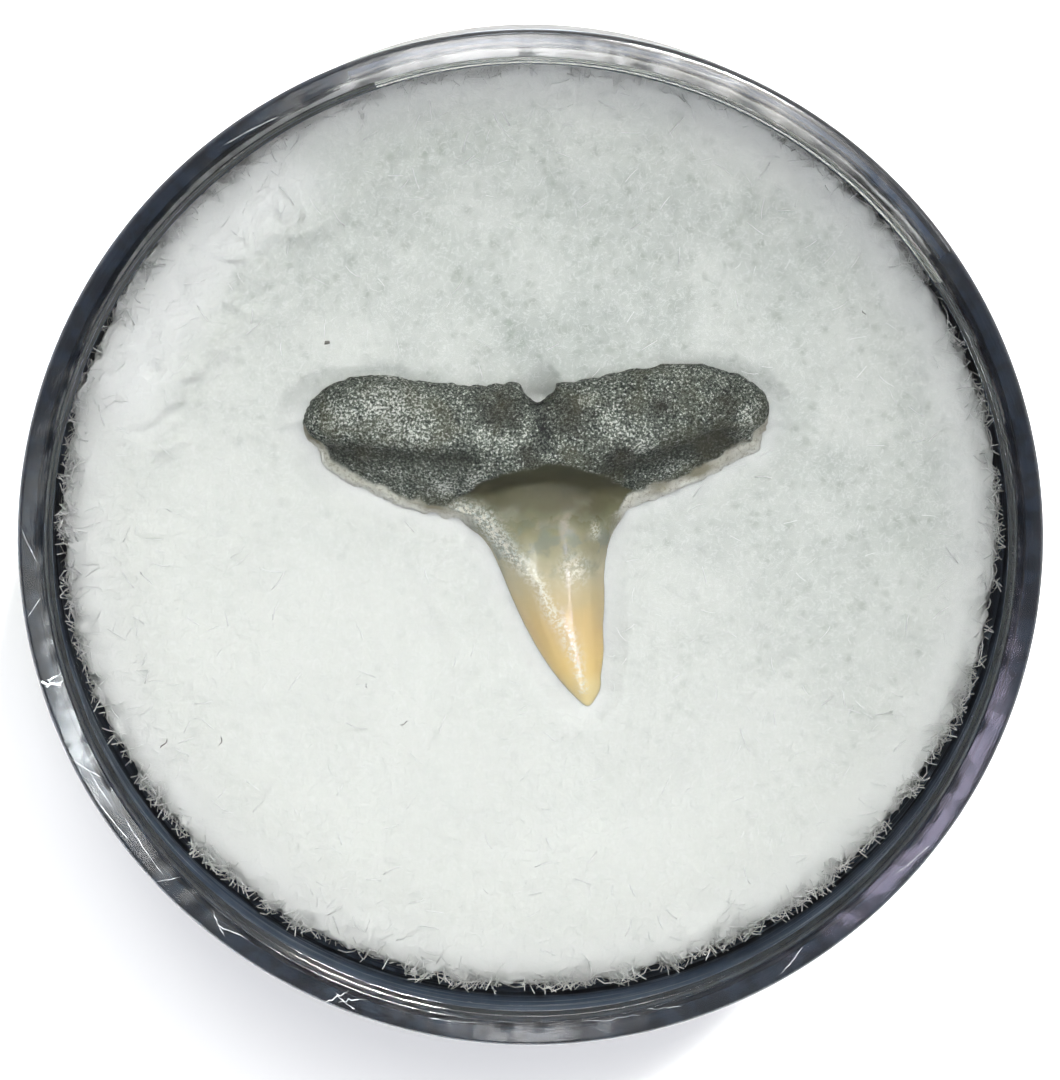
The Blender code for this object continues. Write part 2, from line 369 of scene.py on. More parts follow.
@dataclass(frozen=True)
class ToothFinish:
    """Rough dark root, pale enamel shoulders and a glossy crown that pales to its tip, with painted
    shade, painted light and painted highlights.
    """

    root_dark: Colour = srgb(16, 22, 22)
    root_mid: Colour = srgb(88, 95, 86)
    root_pale: Colour = srgb(162, 168, 157)
    salt: Colour = srgb(230, 232, 226)
    root_tint: Colour = srgb(88, 86, 62)
    # Dark troughs along the lobes: the root's own dark band, deepened as painted shade in the
    # recess.
    trough: Colour = srgb(46, 48, 38)
    brown: Colour = srgb(66, 58, 40)
    # The shoulders' pale enamel, made paler still as painted light, since their lower edges face
    # down.
    shoulder: Colour = srgb(222, 221, 208)
    shoulder_edge: Colour = srgb(248, 248, 240)
    shoulder_brown: Colour = srgb(160, 154, 132)
    # The crown from its base to its tip: the dark base is partly the enamel's own dark neck and
    # partly painted shade under the root.
    crown_stops: tuple[tuple[float, Colour], ...] = (
        (0.0, srgb(58, 58, 40)),
        (0.10, srgb(66, 63, 42)),
        (0.19, srgb(96, 93, 66)),
        (0.28, srgb(148, 145, 112)),
        (0.38, srgb(182, 175, 146)),
        (0.46, srgb(208, 198, 164)),
        (0.56, srgb(216, 197, 152)),
        (0.68, srgb(232, 202, 144)),
        (0.85, srgb(246, 214, 145)),
        (1.0, srgb(255, 237, 178)),
    )
    # Grey of the crown's clouds, also laid as the painted reflection on the gleam.
    crown_grey: Colour = srgb(134, 143, 132)
    # The streak's white: wear, and a painted highlight along the crown's ridge.
    worn: Colour = srgb(252, 248, 234)
    # White flecks of painted sheen.
    sheen_fleck: Colour = srgb(222, 232, 228)
    # Painted light on the crown's sideways-facing faces.
    blade_edge: Colour = srgb(255, 240, 196)

    def build(self) -> bpy.types.Material:
        """Draw the material.

        Returns:
            The tooth's material.
        """
        paint = Paint("fossil_tooth")
        zones = (
            "enamel shoulder shoulder_edge trough groove streak gleam pale dark blade_edge "
            "crown_run"
        )
        enamel, shoulder, lip, trough, groove, streak, gleam, pale, dark, side, run = map(
            paint.attribute, zones.split()
        )

        def along(*limits: float) -> Socket:
            """A band of the crown that fades in between two limits and out between two more."""
            return paint.times(
                paint.range(run, *limits[:2]), paint.range(run, *limits[2:], 1.0, 0.0)
            )

        grain = paint.noise(10.0, 2.0, 0.85)
        hush = paint.math("MAXIMUM", dark, paint.math("MAXIMUM", trough, groove))
        drift = paint.noise(0.9, 3.0, 0.6, 0.3)
        speckle = paint.total(-0.095, (pale, 0.09), (hush, -0.09), (drift, 0.16), (grain, 1.0))
        tones = (self.root_dark, self.root_mid, self.root_mid, self.root_pale, self.salt)
        colour = paint.ramp(speckle, tuple(zip((0.39, 0.46, 0.53, 0.59, 0.65), tones)))
        patches = paint.range(paint.noise(0.55, 2.0, 0.6, 0.4), 0.45, 0.7)
        colour = paint.lay(colour, self.root_tint, patches, 0.4)
        # Painted shade over the root's own dark band in the troughs.
        colour = paint.lay(colour, self.trough, trough, 0.5)
        colour = paint.lay(colour, self.brown, dark, 0.35)

        brown = paint.range(paint.noise(0.5, 1.0), 0.42, 0.6)
        tan = paint.lay(self.shoulder, self.shoulder_brown, brown)
        # Painted light over the enamel's pale rim: the lobes' down-facing lower edges whitened.
        tan = paint.lay(tan, self.shoulder_edge, lip, 0.75)
        specks = paint.range(paint.noise(7.0, 2.0, 0.8), 0.52, 0.64)
        tan = paint.lay(tan, self.shoulder_brown, specks, 0.6)
        colour = paint.lay(colour, tan, shoulder)

        where = paint.total(-0.07, (paint.noise(0.7, 2.0, 0.5, 0.6), 0.14), (run, 1.0))
        stains = paint.range(paint.noise(0.8, 2.0, 0.6, 0.5), 0.48, 0.66)
        clouds = paint.range(paint.noise(1.3, 3.0, 0.6, 0.4), 0.44, 0.62)
        glint_flecks = paint.range(paint.noise(7.5, 2.0, 0.85), 0.5, 0.6)
        streak_breakup = paint.range(paint.noise(6.0, 2.0, 0.85), 0.46, 0.56, 0.2, 1.0)
        crown = paint.ramp(where, self.crown_stops)
        for over, share, most in (
            (self.shoulder_brown, paint.times(stains, along(0.12, 0.2, 0.3, 0.4)), 0.5),
            (self.crown_grey, paint.times(clouds, along(0.2, 0.3, 0.38, 0.52)), 0.6),
            # Painted reflection: grey-cyan with white flecks on the upper part of the streak, for
            # the crinkled enamel's sheen.
            (self.crown_grey, gleam, 0.7),
            (self.sheen_fleck, paint.times(glint_flecks, gleam), 0.9),
            # Painted highlight along the crown's ridge, over some wear.
            (self.worn, paint.times(streak, streak_breakup), 0.9),
            # Painted light: the crown's faces that turn sideways or down are lightened.
            (self.blade_edge, side, 0.8),
        ):
            crown = paint.lay(crown, over, share, most)

        smooth = paint.range(paint.noise(1.5, 3.0, 0.6), 0.3, 0.7, 0.12, 0.26)
        smooth = paint.math("ADD", smooth, paint.range(run, 0.1, 0.3, 0.34, 0.0))
        feeds = {0: enamel, 2: paint.range(grain, 0.3, 0.7, 0.75, 0.38), 3: smooth}
        coarse = paint.times(paint.noise(8.0, 3.0, 0.8), paint.math("SUBTRACT", 1.0, enamel))
        crinkle = paint.times(paint.noise(3.0, 2.0, 0.6, 0.8), enamel, 0.18)
        return paint.finish(
            Base_Color=paint.lay(colour, crown, enamel),
            Roughness=paint.add("ShaderNodeMix", feeds, data_type="FLOAT").outputs[0],
            Coat_Weight=paint.times(enamel, paint.range(run, 0.15, 0.4, 0.0, 0.5)),
            Coat_Roughness=0.08,
            Normal=paint.bump(paint.math("ADD", coarse, crinkle), 0.08, 0.9),
        )


@dataclass(frozen=True)
class FoamFinish:
    """White open-cell foam, slightly grey-green in its cells, with the same grey-green laid as
    painted shade towards the back right and above the tooth, and white laid as painted light at its
    edge and beside the tooth.
    """

    strand: Colour = srgb(238, 240, 234)
    # The cells' grey-green, also laid as painted shade.
    hollow_and_shade: Colour = srgb(189, 195, 189)
    deep: Colour = srgb(176, 183, 174)
    # The whitest foam: its threads, and the painted light at the edge and beside the tooth.
    cut: Colour = srgb(253, 254, 252)

    def build(self) -> bpy.types.Material:
        """Draw the material.

        Returns:
            The foam's material.
        """
        paint = Paint("white_foam")
        # cell holds the cells' tone with painted shade in it: darker towards the back right and
        # above the tooth.
        cell = paint.attribute("cell")
        pits = paint.range(paint.cells(1.9, 1.6, 0.5), 0.12, 0.55, 1.0, 0.0)
        cloud = paint.range(paint.noise(1.5), 0.35, 0.68)
        threads = paint.noise(3.2, 2.0, 0.6, 0.5)
        ridge = paint.math("ABSOLUTE", paint.math("SUBTRACT", threads, 0.5))
        ridge = paint.range(ridge, 0.0, 0.035, 1.0, 0.0)
        colour = paint.lay(self.strand, self.hollow_and_shade, cell, 0.95)
        colour = paint.lay(colour, self.deep, paint.times(pits, cloud, cell))
        colour = paint.lay(colour, self.cut, ridge, 0.35)
        # Painted light: the pad's edge and the foam beside the tooth whitened against the shade
        # there, and the heaped bank's white.
        colour = paint.lay(colour, self.cut, paint.attribute("painted_light_and_white_bank"), 0.85)
        normal = paint.bump(threads, 0.08, 0.4)
        return paint.finish(
            Base_Color=colour, Roughness=0.9, Specular_IOR_Level=0.2, Normal=normal
        )


@dataclass(frozen=True)
class ThreadFinish:
    """Two tones for something small: foam struts, scratches or lint.

    The tone's noise has its features in a millimetre and the values between which it turns, and
    the relief's noise its features in a millimetre, depth and strength.
    """

    name: str
    first: Colour
    second: Colour
    tone: tuple[float, float, float]
    roughness: tuple[float, float]
    relief: tuple[float, float, float]

    def build(self) -> bpy.types.Material:
        """Draw the material.

        Returns:
            The thread's material.
        """
        paint = Paint(self.name)
        tone = paint.range(paint.noise(self.tone[0]), *self.tone[1:])
        return paint.finish(
            Base_Color=paint.lay(self.first, self.second, tone),
            Roughness=paint.range(tone, 0.0, 1.0, *self.roughness),
            Normal=paint.bump(paint.noise(self.relief[0]), *self.relief[1:]),
        )


STRUT_FINISH = ThreadFinish(
    name="foam_struts",
    first=srgb(254, 254, 253),
    second=srgb(246, 248, 245),
    tone=(1.2, 0.4, 0.65),
    roughness=(0.45, 0.7),
    relief=(9.0, 0.01, 0.5),
)
SCUFF_FINISH = ThreadFinish(
    name="rim_scuff",
    first=srgb(238, 242, 244),
    second=srgb(170, 178, 182),
    tone=(5.0, 0.35, 0.7),
    roughness=(0.3, 0.6),
    relief=(20.0, 0.01, 0.6),
)
LINT_FINISH = ThreadFinish(
    name="dark_lint",
    first=srgb(58, 56, 54),
    second=srgb(120, 116, 110),
    tone=(4.0, 0.4, 0.7),
    roughness=(0.6, 0.85),
    relief=(25.0, 0.005, 0.5),
)


@dataclass(frozen=True)
class ClearFinish:
    """Clear moulded plastic, with a rim of turned rings, and a black sheet of painted shade round
    its window.
    """

    tint: Colour = (0.97, 0.98, 0.98, 1.0)
    # A painted blue line of light at the rim's outer edge.
    painted_blue_fringe: Colour = srgb(96, 136, 190)
    # Colours of the black sheet of painted shade, which darkens the rim's inside and underside.
    shade_sheet: tuple[Colour, Colour] = (srgb(13, 19, 27), srgb(24, 33, 44))
    ior: float = 1.49

    def rim(self) -> bpy.types.Material:
        """Draw the rim's plastic.

        Returns:
            The rim's material.
        """
        paint = Paint("clear_plastic")
        rim = paint.attribute("rim")
        hair = paint.noise(1.0, 2.0, 0.6, 0.0, paint.scaled("UV", (0.35, 9.0, 1.0)))
        haze = paint.range(paint.noise(0.9, 3.0, 0.6, 0.3), 0.45, 0.75, 0.0, 0.12)
        haze = paint.times(paint.math("ADD", haze, 0.13), rim)
        return paint.finish(
            # The outer edge takes the painted blue line of light.
            Base_Color=paint.lay(self.tint, self.painted_blue_fringe, paint.attribute("edge")),
            Transmission_Weight=1.0,
            IOR=self.ior,
            Roughness=paint.math("ADD", haze, 0.02),
            Normal=paint.bump(paint.times(hair, rim, 0.5), 0.02, 0.5),
        )

    def window(self) -> bpy.types.Material:
        """Draw the polished window.

        Returns:
            The window's material.
        """
        return Paint("clear_window").finish(
            Base_Color=self.tint, Transmission_Weight=1.0, IOR=self.ior, Roughness=0.0
        )

    def painted_shade_sheet(self) -> bpy.types.Material:
        """Draw the black sheet of painted shade round the window's edge and under the flange.

        Returns:
            The painted shade sheet's material.
        """
        paint = Paint("painted_shade_sheet")
        colour = paint.lay(*self.shade_sheet, paint.range(paint.noise(2.0), 0.4, 0.6))
        return paint.finish(Base_Color=colour, Roughness=0.6, Specular_IOR_Level=0.1)


@dataclass(frozen=True)
class BlackFinish:
    """Black moulded plastic with a fine satin grain; its inner wall is painted slate blue as
    painted light, with pale lines as painted highlights.
    """

    dark: Colour = srgb(17, 20, 25)
    worn: Colour = srgb(36, 42, 50)
    # Painted light and painted highlights for the shaded inner wall: slate blue with pale lines.
    wall: Colour = srgb(104, 122, 148)
    line: Colour = srgb(196, 210, 228)

    def build(self) -> bpy.types.Material:
        """Draw the material.

        Returns:
            The black material.
        """
        paint = Paint("black_plastic")
        # ribs marks the inner wall that takes the painted light and highlight lines.
        ribs = paint.attribute("ribs")
        smear = paint.range(paint.noise(0.4, 4.0, 0.65, 0.4), 0.45, 0.75)
        lines = paint.noise(1.0, 2.0, 0.7, 0.2, paint.scaled("UV", (0.06, 5.5, 1.0)))
        lines = paint.times(paint.range(lines, 0.52, 0.64), ribs)
        colour = paint.lay(self.dark, self.worn, smear, 0.3)
        colour = paint.lay(colour, self.wall, ribs)
        return paint.finish(
            Base_Color=paint.lay(colour, self.line, lines, 0.8),
            Roughness=paint.range(paint.noise(2.0, 3.0), 0.3, 0.7, 0.3, 0.45),
            Specular_IOR_Level=0.3,
            Normal=paint.bump(paint.noise(14.0, 2.0, 0.6), 0.01, 0.35),
        )


@dataclass(frozen=True)
class FloorFinish:
    """The pale floor of the studio."""

    pale: Colour = srgb(254, 254, 253)
    shade: Colour = srgb(251, 252, 252)

    def build(self) -> bpy.types.Material:
        """Draw the material.

        Returns:
            The floor's material.
        """
        paint = Paint("pale_floor")
        colour = paint.lay(self.pale, self.shade, paint.noise(0.01))
        return paint.finish(Base_Color=colour, Roughness=0.85, Specular_IOR_Level=0.2)


def mesh_object(name: str, vertices: np.ndarray, faces: Faces) -> bpy.types.Object:
    """A smooth shaded mesh object at the origin.

    Args:
        name: the piece's name.
        vertices: rows of x, y, z in metres.
        faces: corner indices of each face.

    Returns:
        The object, linked to the scene.
    """
    mesh = bpy.data.meshes.new(name)
    mesh.from_pydata([tuple(row) for row in vertices], [], [tuple(face) for face in faces])
    mesh.validate()
    obj = bpy.data.objects.new(name, mesh)
    bpy.context.scene.collection.objects.link(obj)
    shade(obj, True)
    return obj


def shade(obj: bpy.types.Object, smooth: bool) -> None:
    """Shade every face of the mesh smooth or flat."""
    obj.data.polygons.foreach_set("use_smooth", [smooth] * len(obj.data.polygons))


def face_outwards(obj: bpy.types.Object) -> None:
    """Turn every face of a closed mesh outwards.

    Args:
        obj: the object.
    """
    shape = bmesh.new()
    shape.from_mesh(obj.data)
    bmesh.ops.recalc_face_normals(shape, faces=shape.faces)
    shape.to_mesh(obj.data)
    shape.free()


def set_attribute(obj: bpy.types.Object, name: str, values: np.ndarray) -> None:
    """Store a named value on each point of the mesh."""
    attribute = obj.data.attributes.new(name, "FLOAT", "POINT")
    attribute.data.foreach_set("value", values.astype(np.float32))


def read_rows(items: bpy.types.bpy_prop_collection, name: str) -> np.ndarray:
    """A property of three numbers of each item, as rows."""
    flat = np.empty(len(items) * 3)
    items.foreach_get(name, flat)
    return flat.reshape(-1, 3)


def vertices_of(obj: bpy.types.Object) -> np.ndarray:
    """The mesh's vertices as rows, in metres."""
    return read_rows(obj.data.vertices, "co")


def normals_of(obj: bpy.types.Object) -> np.ndarray:
    """The mesh's vertex normals as rows."""
    return read_rows(obj.data.vertex_normals, "vector")


def put_vertices(obj: bpy.types.Object, rows: np.ndarray) -> None:
    """Move the mesh's vertices to the given rows."""
    obj.data.vertices.foreach_set("co", rows.astype(np.float32).ravel())
    obj.data.update()


def plain_mesh(obj: bpy.types.Object) -> None:
    """Apply the object's modifiers by taking its evaluated mesh.

    Args:
        obj: the object, whose modifiers are then gone.
    """
    graph = bpy.context.evaluated_depsgraph_get()
    mesh = bpy.data.meshes.new_from_object(obj.evaluated_get(graph))
    obj.modifiers.clear()
    obj.data = mesh


def turn(name: str, profile: Profile, segments: int) -> bpy.types.Object:
    """A closed solid turned about Z, with a UV map in millimetres round and along.

    Args:
        name: the piece's name.
        profile: radius and height points in metres, from the axis round to the axis.
        segments: steps round.

    Returns:
        The object.
    """
    rows = np.array(profile)
    inner = rows[1:-1]
    angles = np.arange(segments) * (2.0 * math.pi / segments)
    ring = np.stack([np.cos(angles), np.sin(angles)], 1)
    body = np.concatenate([np.column_stack([ring * r, np.full(segments, z)]) for r, z in inner])
    vertices = np.vstack([[0.0, 0.0, rows[0, 1]], body, [0.0, 0.0, rows[-1, 1]]])
    lengths = np.concatenate([[0.0], np.cumsum(np.linalg.norm(np.diff(rows, axis=0), axis=1))])
    around = 2.0 * math.pi * rows[:, 0].max() / segments
    count, last = len(inner), len(vertices) - 1
    faces: Faces = []
    corners: list[tuple[int, int]] = []
    for step in range(segments):
        after = (step + 1) % segments
        faces.append((0, 1 + step, 1 + after))
        corners += [(step, 0), (step, 1), (step + 1, 1)]
        for row in range(1, count):
            here, below = 1 + (row - 1) * segments, 1 + row * segments
            faces.append((here + step, below + step, below + after, here + after))
            corners += [(step, row), (step, row + 1), (step + 1, row + 1), (step + 1, row)]
        faces.append((below + step, last, below + after))
        corners += [(step, count), (step, count + 1), (step + 1, count)]
    obj = mesh_object(name, vertices, faces)
    flat = [(across * around / MM, lengths[along] / MM) for across, along in corners]
    obj.data.uv_layers.new(name="turned").data.foreach_set("uv", np.array(flat).ravel())
    return obj


def rounded(points: list[tuple[float, float, float]], steps: int = 4) -> Profile:
    """Round the corners of a profile.

    Args:
        points: radius, height and corner radius of each corner, in metres.
        steps: points on each rounded corner.

    Returns:
        The rounded profile.
    """
    result: Profile = []
    for index, (radius, height, size) in enumerate(points):
        here = Vector((radius, height))
        if size <= 0.0 or index in (0, len(points) - 1):
            result.append((radius, height))
            continue
        before = Vector(points[index - 1][:2]) - here
        after = Vector(points[index + 1][:2]) - here
        reach = min(size, before.length * 0.45, after.length * 0.45)
        start = here + before.normalized() * reach
        end = here + after.normalized() * reach
        for step in range(steps + 1):
            share = step / steps
            spot = start.lerp(here, share).lerp(here.lerp(end, share), share)
            result.append((spot.x, spot.y))
    return result


@dataclass
class CaseSizes:
    """The case's driving sizes, in metres, taken from the frame's boxes."""

    radius: float
    top: float
    window_underside: float
    pad_radius: float
    pad_top: float
    pad_bottom: float
    cup_radius: float
    cup_top: float
    gap: float = 0.3 * MM

    @classmethod
    def from_frame(cls) -> "CaseSizes":
        """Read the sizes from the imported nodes.

        Returns:
            The case's sizes.
        """
        lid_low, lid_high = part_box("lid")
        pad_low, pad_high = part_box("foam_pad")
        cup_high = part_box("base_cup")[1]
        return cls(
            radius=lid_high.x,
            top=lid_high.z,
            window_underside=lid_low.z,
            pad_radius=pad_high.x,
            pad_top=pad_high.z,
            pad_bottom=pad_low.z,
            cup_radius=cup_high.x,
            cup_top=cup_high.z,
        )


@dataclass
class Lid:
    """The clear lid: a window inside a raised rim, and a flange that stands on the cup."""

    sizes: CaseSizes
    rim_width: float = 1.04 * MM
    outer_fall: float = 0.15 * MM
    window_drop: float = 0.6 * MM
    window_inset: float = 1.26 * MM
    step_inset: float = 1.16 * MM
    step_drop: float = 0.34 * MM
    plug_inset: float = 0.7 * MM
    nick: float = 0.03
    clear_bearings: tuple[float, float] = (44.0, 120.0)
    segments: int = 448

    def profile(self) -> Profile:
        """The half section, from the window's middle round to its underside.

        Returns:
            Rounded radius and height points.
        """
        radius, top = self.sizes.radius, self.sizes.top
        underside = self.sizes.window_underside
        window, inner = top - self.window_drop, radius - self.window_inset
        step, ledge = radius - self.step_inset, top - self.step_drop
        edge, plug = radius - self.rim_width, radius - self.plug_inset
        flange = self.sizes.cup_top + self.sizes.gap
        return rounded(
            [
                (0.0, window, 0.0),
                (inner - 0.5 * MM, window, 0.0),
                (inner, window, 0.04 * MM),
                (step, ledge, 0.02 * MM),
                (step + 0.04 * MM, ledge + 0.01 * MM, 0.02 * MM),
                (edge, top - 0.06 * MM, 0.02 * MM),
                (edge + 0.04 * MM, top, 0.03 * MM),
                (radius - 0.14 * MM, top - self.outer_fall, 0.06 * MM),
                (radius, top - 0.34 * MM, 0.1 * MM),
                (radius, flange, 0.06 * MM),
                (plug, flange, 0.05 * MM),
                (plug, underside + 0.12 * MM, 0.08 * MM),
                (plug - 0.12 * MM, underside, 0.08 * MM),
                (plug - 0.8 * MM, underside, 0.0),
                (0.0, underside, 0.0),
            ]
        )

    def lay_out(self, lid: bpy.types.Object, rows: np.ndarray) -> None:
        """Give each face the rim's plastic, the window's, or the black of the painted shade sheet.

        Args:
            lid: the lid, with those three materials.
            rows: its vertices.
        """
        reach = reach_of(rows)
        most = self.sizes.radius - self.window_inset
        flange = self.sizes.cup_top + self.sizes.gap + 0.01 * MM
        # Outside the clear bearings the faces inside and under the flange take the black painted
        # shade sheet.
        bearing = bearing_of(rows) + 16.0 * layered(131, 0.35, 2, rows * (0.0, 0.0, 9.0 / MM))
        under_shade_sheet = (bearing < self.clear_bearings[0]) | (bearing > self.clear_bearings[1])
        for face in lid.data.polygons:
            corners = list(face.vertices)
            if reach[corners].max() < most - 0.01 * MM:
                face.material_index = 1
            elif reach[corners].min() > most + 0.3 * MM and rows[corners, 2].max() < flange:
                face.material_index = 2 if under_shade_sheet[corners[0]] else 0

    def build(self, finish: ClearFinish) -> bpy.types.Object:
        """Make and dress the lid.

        Args:
            finish: the clear plastic.

        Returns:
            The lid.
        """
        lid = turn("clear_lid", self.profile(), self.segments)
        rows = vertices_of(lid)
        reach = reach_of(rows)
        radius, top = self.sizes.radius, self.sizes.top
        high = smoothstep(top - self.window_drop, top, rows[:, 2])
        set_attribute(lid, "rim", high * smoothstep(radius - 2 * MM, radius - 1.2 * MM, reach))
        # Where the painted blue line of light lies.
        set_attribute(lid, "edge", smoothstep(radius - 0.2 * MM, radius, reach))
        lip = mound(reach - radius + self.rim_width, 0.12 * MM)
        lip *= smoothstep(top - 0.4 * MM, top, rows[:, 2])
        dents = np.clip(layered(111, 0.5, 3, rows / MM), -1.0, 0.1)
        rows[:, 2] += lip * dents * self.nick * MM
        put_vertices(lid, rows)
        for material in (finish.rim(), finish.window(), finish.painted_shade_sheet()):
            lid.data.materials.append(material)
        self.lay_out(lid, rows)
        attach(lid, BODY)
        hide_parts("lid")
        return lid


@dataclass
class BaseCup:
    """The black base: a foot, and a wall with a rebate inside its top for the lid's plug."""

    sizes: CaseSizes
    foot_inset: float = 1.5 * MM
    foot_height: float = 0.7 * MM
    rebate_inset: float = 0.4 * MM
    inner_inset: float = 0.7 * MM
    floor: float = 1.5 * MM
    groove_height: float = 2.2 * MM
    groove_depth: float = 0.12 * MM
    rib_pitch: float = 0.4 * MM
    rib_depth: float = 0.16 * MM
    rib_bottom: float = 11.5 * MM
    # Heights over which the inner wall's painted light fades in.
    painted_light_from: tuple[float, float] = (10.0 * MM, 11.4 * MM)
    segments: int = 224

    def profile(self) -> Profile:
        """The half section, from the middle of the floor round to the foot.

        Returns:
            Rounded radius and height points.
        """
        radius, outer = self.sizes.radius, self.sizes.cup_radius
        inner, rebate = radius - self.inner_inset, radius - self.rebate_inset
        ledge = self.sizes.window_underside - self.sizes.gap
        foot, groove = radius - self.foot_inset, self.groove_height
        ribs = []
        for number in range(int((ledge - self.rib_bottom) / self.rib_pitch) - 1):
            height = self.rib_bottom + number * self.rib_pitch
            ribs.append((inner, height, 0.0))
            ribs.append((inner + self.rib_depth, height + 0.9 * self.rib_pitch, 0.0))
        return rounded(
            [
                (0.0, self.floor, 0.0),
                (inner - 0.6 * MM, self.floor, 0.0),
                (inner, self.floor, 0.4 * MM),
                *ribs,
                (inner, ribs[-1][1] + 0.1 * self.rib_pitch, 0.0),
                (inner, ledge, 0.06 * MM),
                (rebate, ledge, 0.05 * MM),
                (rebate, self.sizes.cup_top, 0.06 * MM),
                (outer, self.sizes.cup_top, 0.15 * MM),
                (outer, groove + 0.25 * MM, 0.05 * MM),
                (outer - self.groove_depth, groove + 0.16 * MM, 0.05 * MM),
                (outer - self.groove_depth, groove - 0.16 * MM, 0.05 * MM),
                (outer, groove - 0.25 * MM, 0.05 * MM),
                (outer, self.foot_height, 0.15 * MM),
                (foot, self.foot_height, 0.08 * MM),
                (foot, 0.0, 0.2 * MM),
                (foot - 1.6 * MM, 0.0, 0.0),
                (foot - 1.75 * MM, 0.12 * MM, 0.05 * MM),
                (foot - 2.1 * MM, 0.12 * MM, 0.05 * MM),
                (foot - 2.25 * MM, 0.0, 0.0),
                (2.2 * MM, 0.0, 0.0),
                (2.05 * MM, 0.1 * MM, 0.04 * MM),
                (1.0 * MM, 0.1 * MM, 0.04 * MM),
                (0.85 * MM, 0.02 * MM, 0.04 * MM),
                (0.0, 0.02 * MM, 0.0),
            ]
        )

    def build(self, finish: bpy.types.Material) -> bpy.types.Object:
        """Make and dress the base.

        Args:
            finish: the black material.

        Returns:
            The base cup.
        """
        cup = turn("black_base", self.profile(), self.segments)
        rows = vertices_of(cup)
        inside = reach_of(rows) < self.sizes.radius - self.rebate_inset
        # Where the inner wall takes its painted light and painted highlight lines.
        set_attribute(cup, "ribs", inside * smoothstep(*self.painted_light_from, rows[:, 2]))
        cup.data.materials.append(finish)
        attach(cup, BODY)
        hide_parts("base_cup")
        return cup


@dataclass(frozen=True)
class Stroke:
    """A soft push on the tooth's surface: where, how wide and which way, in millimetres."""

    x: float
    y: float
    width: float
    right: float
    back: float


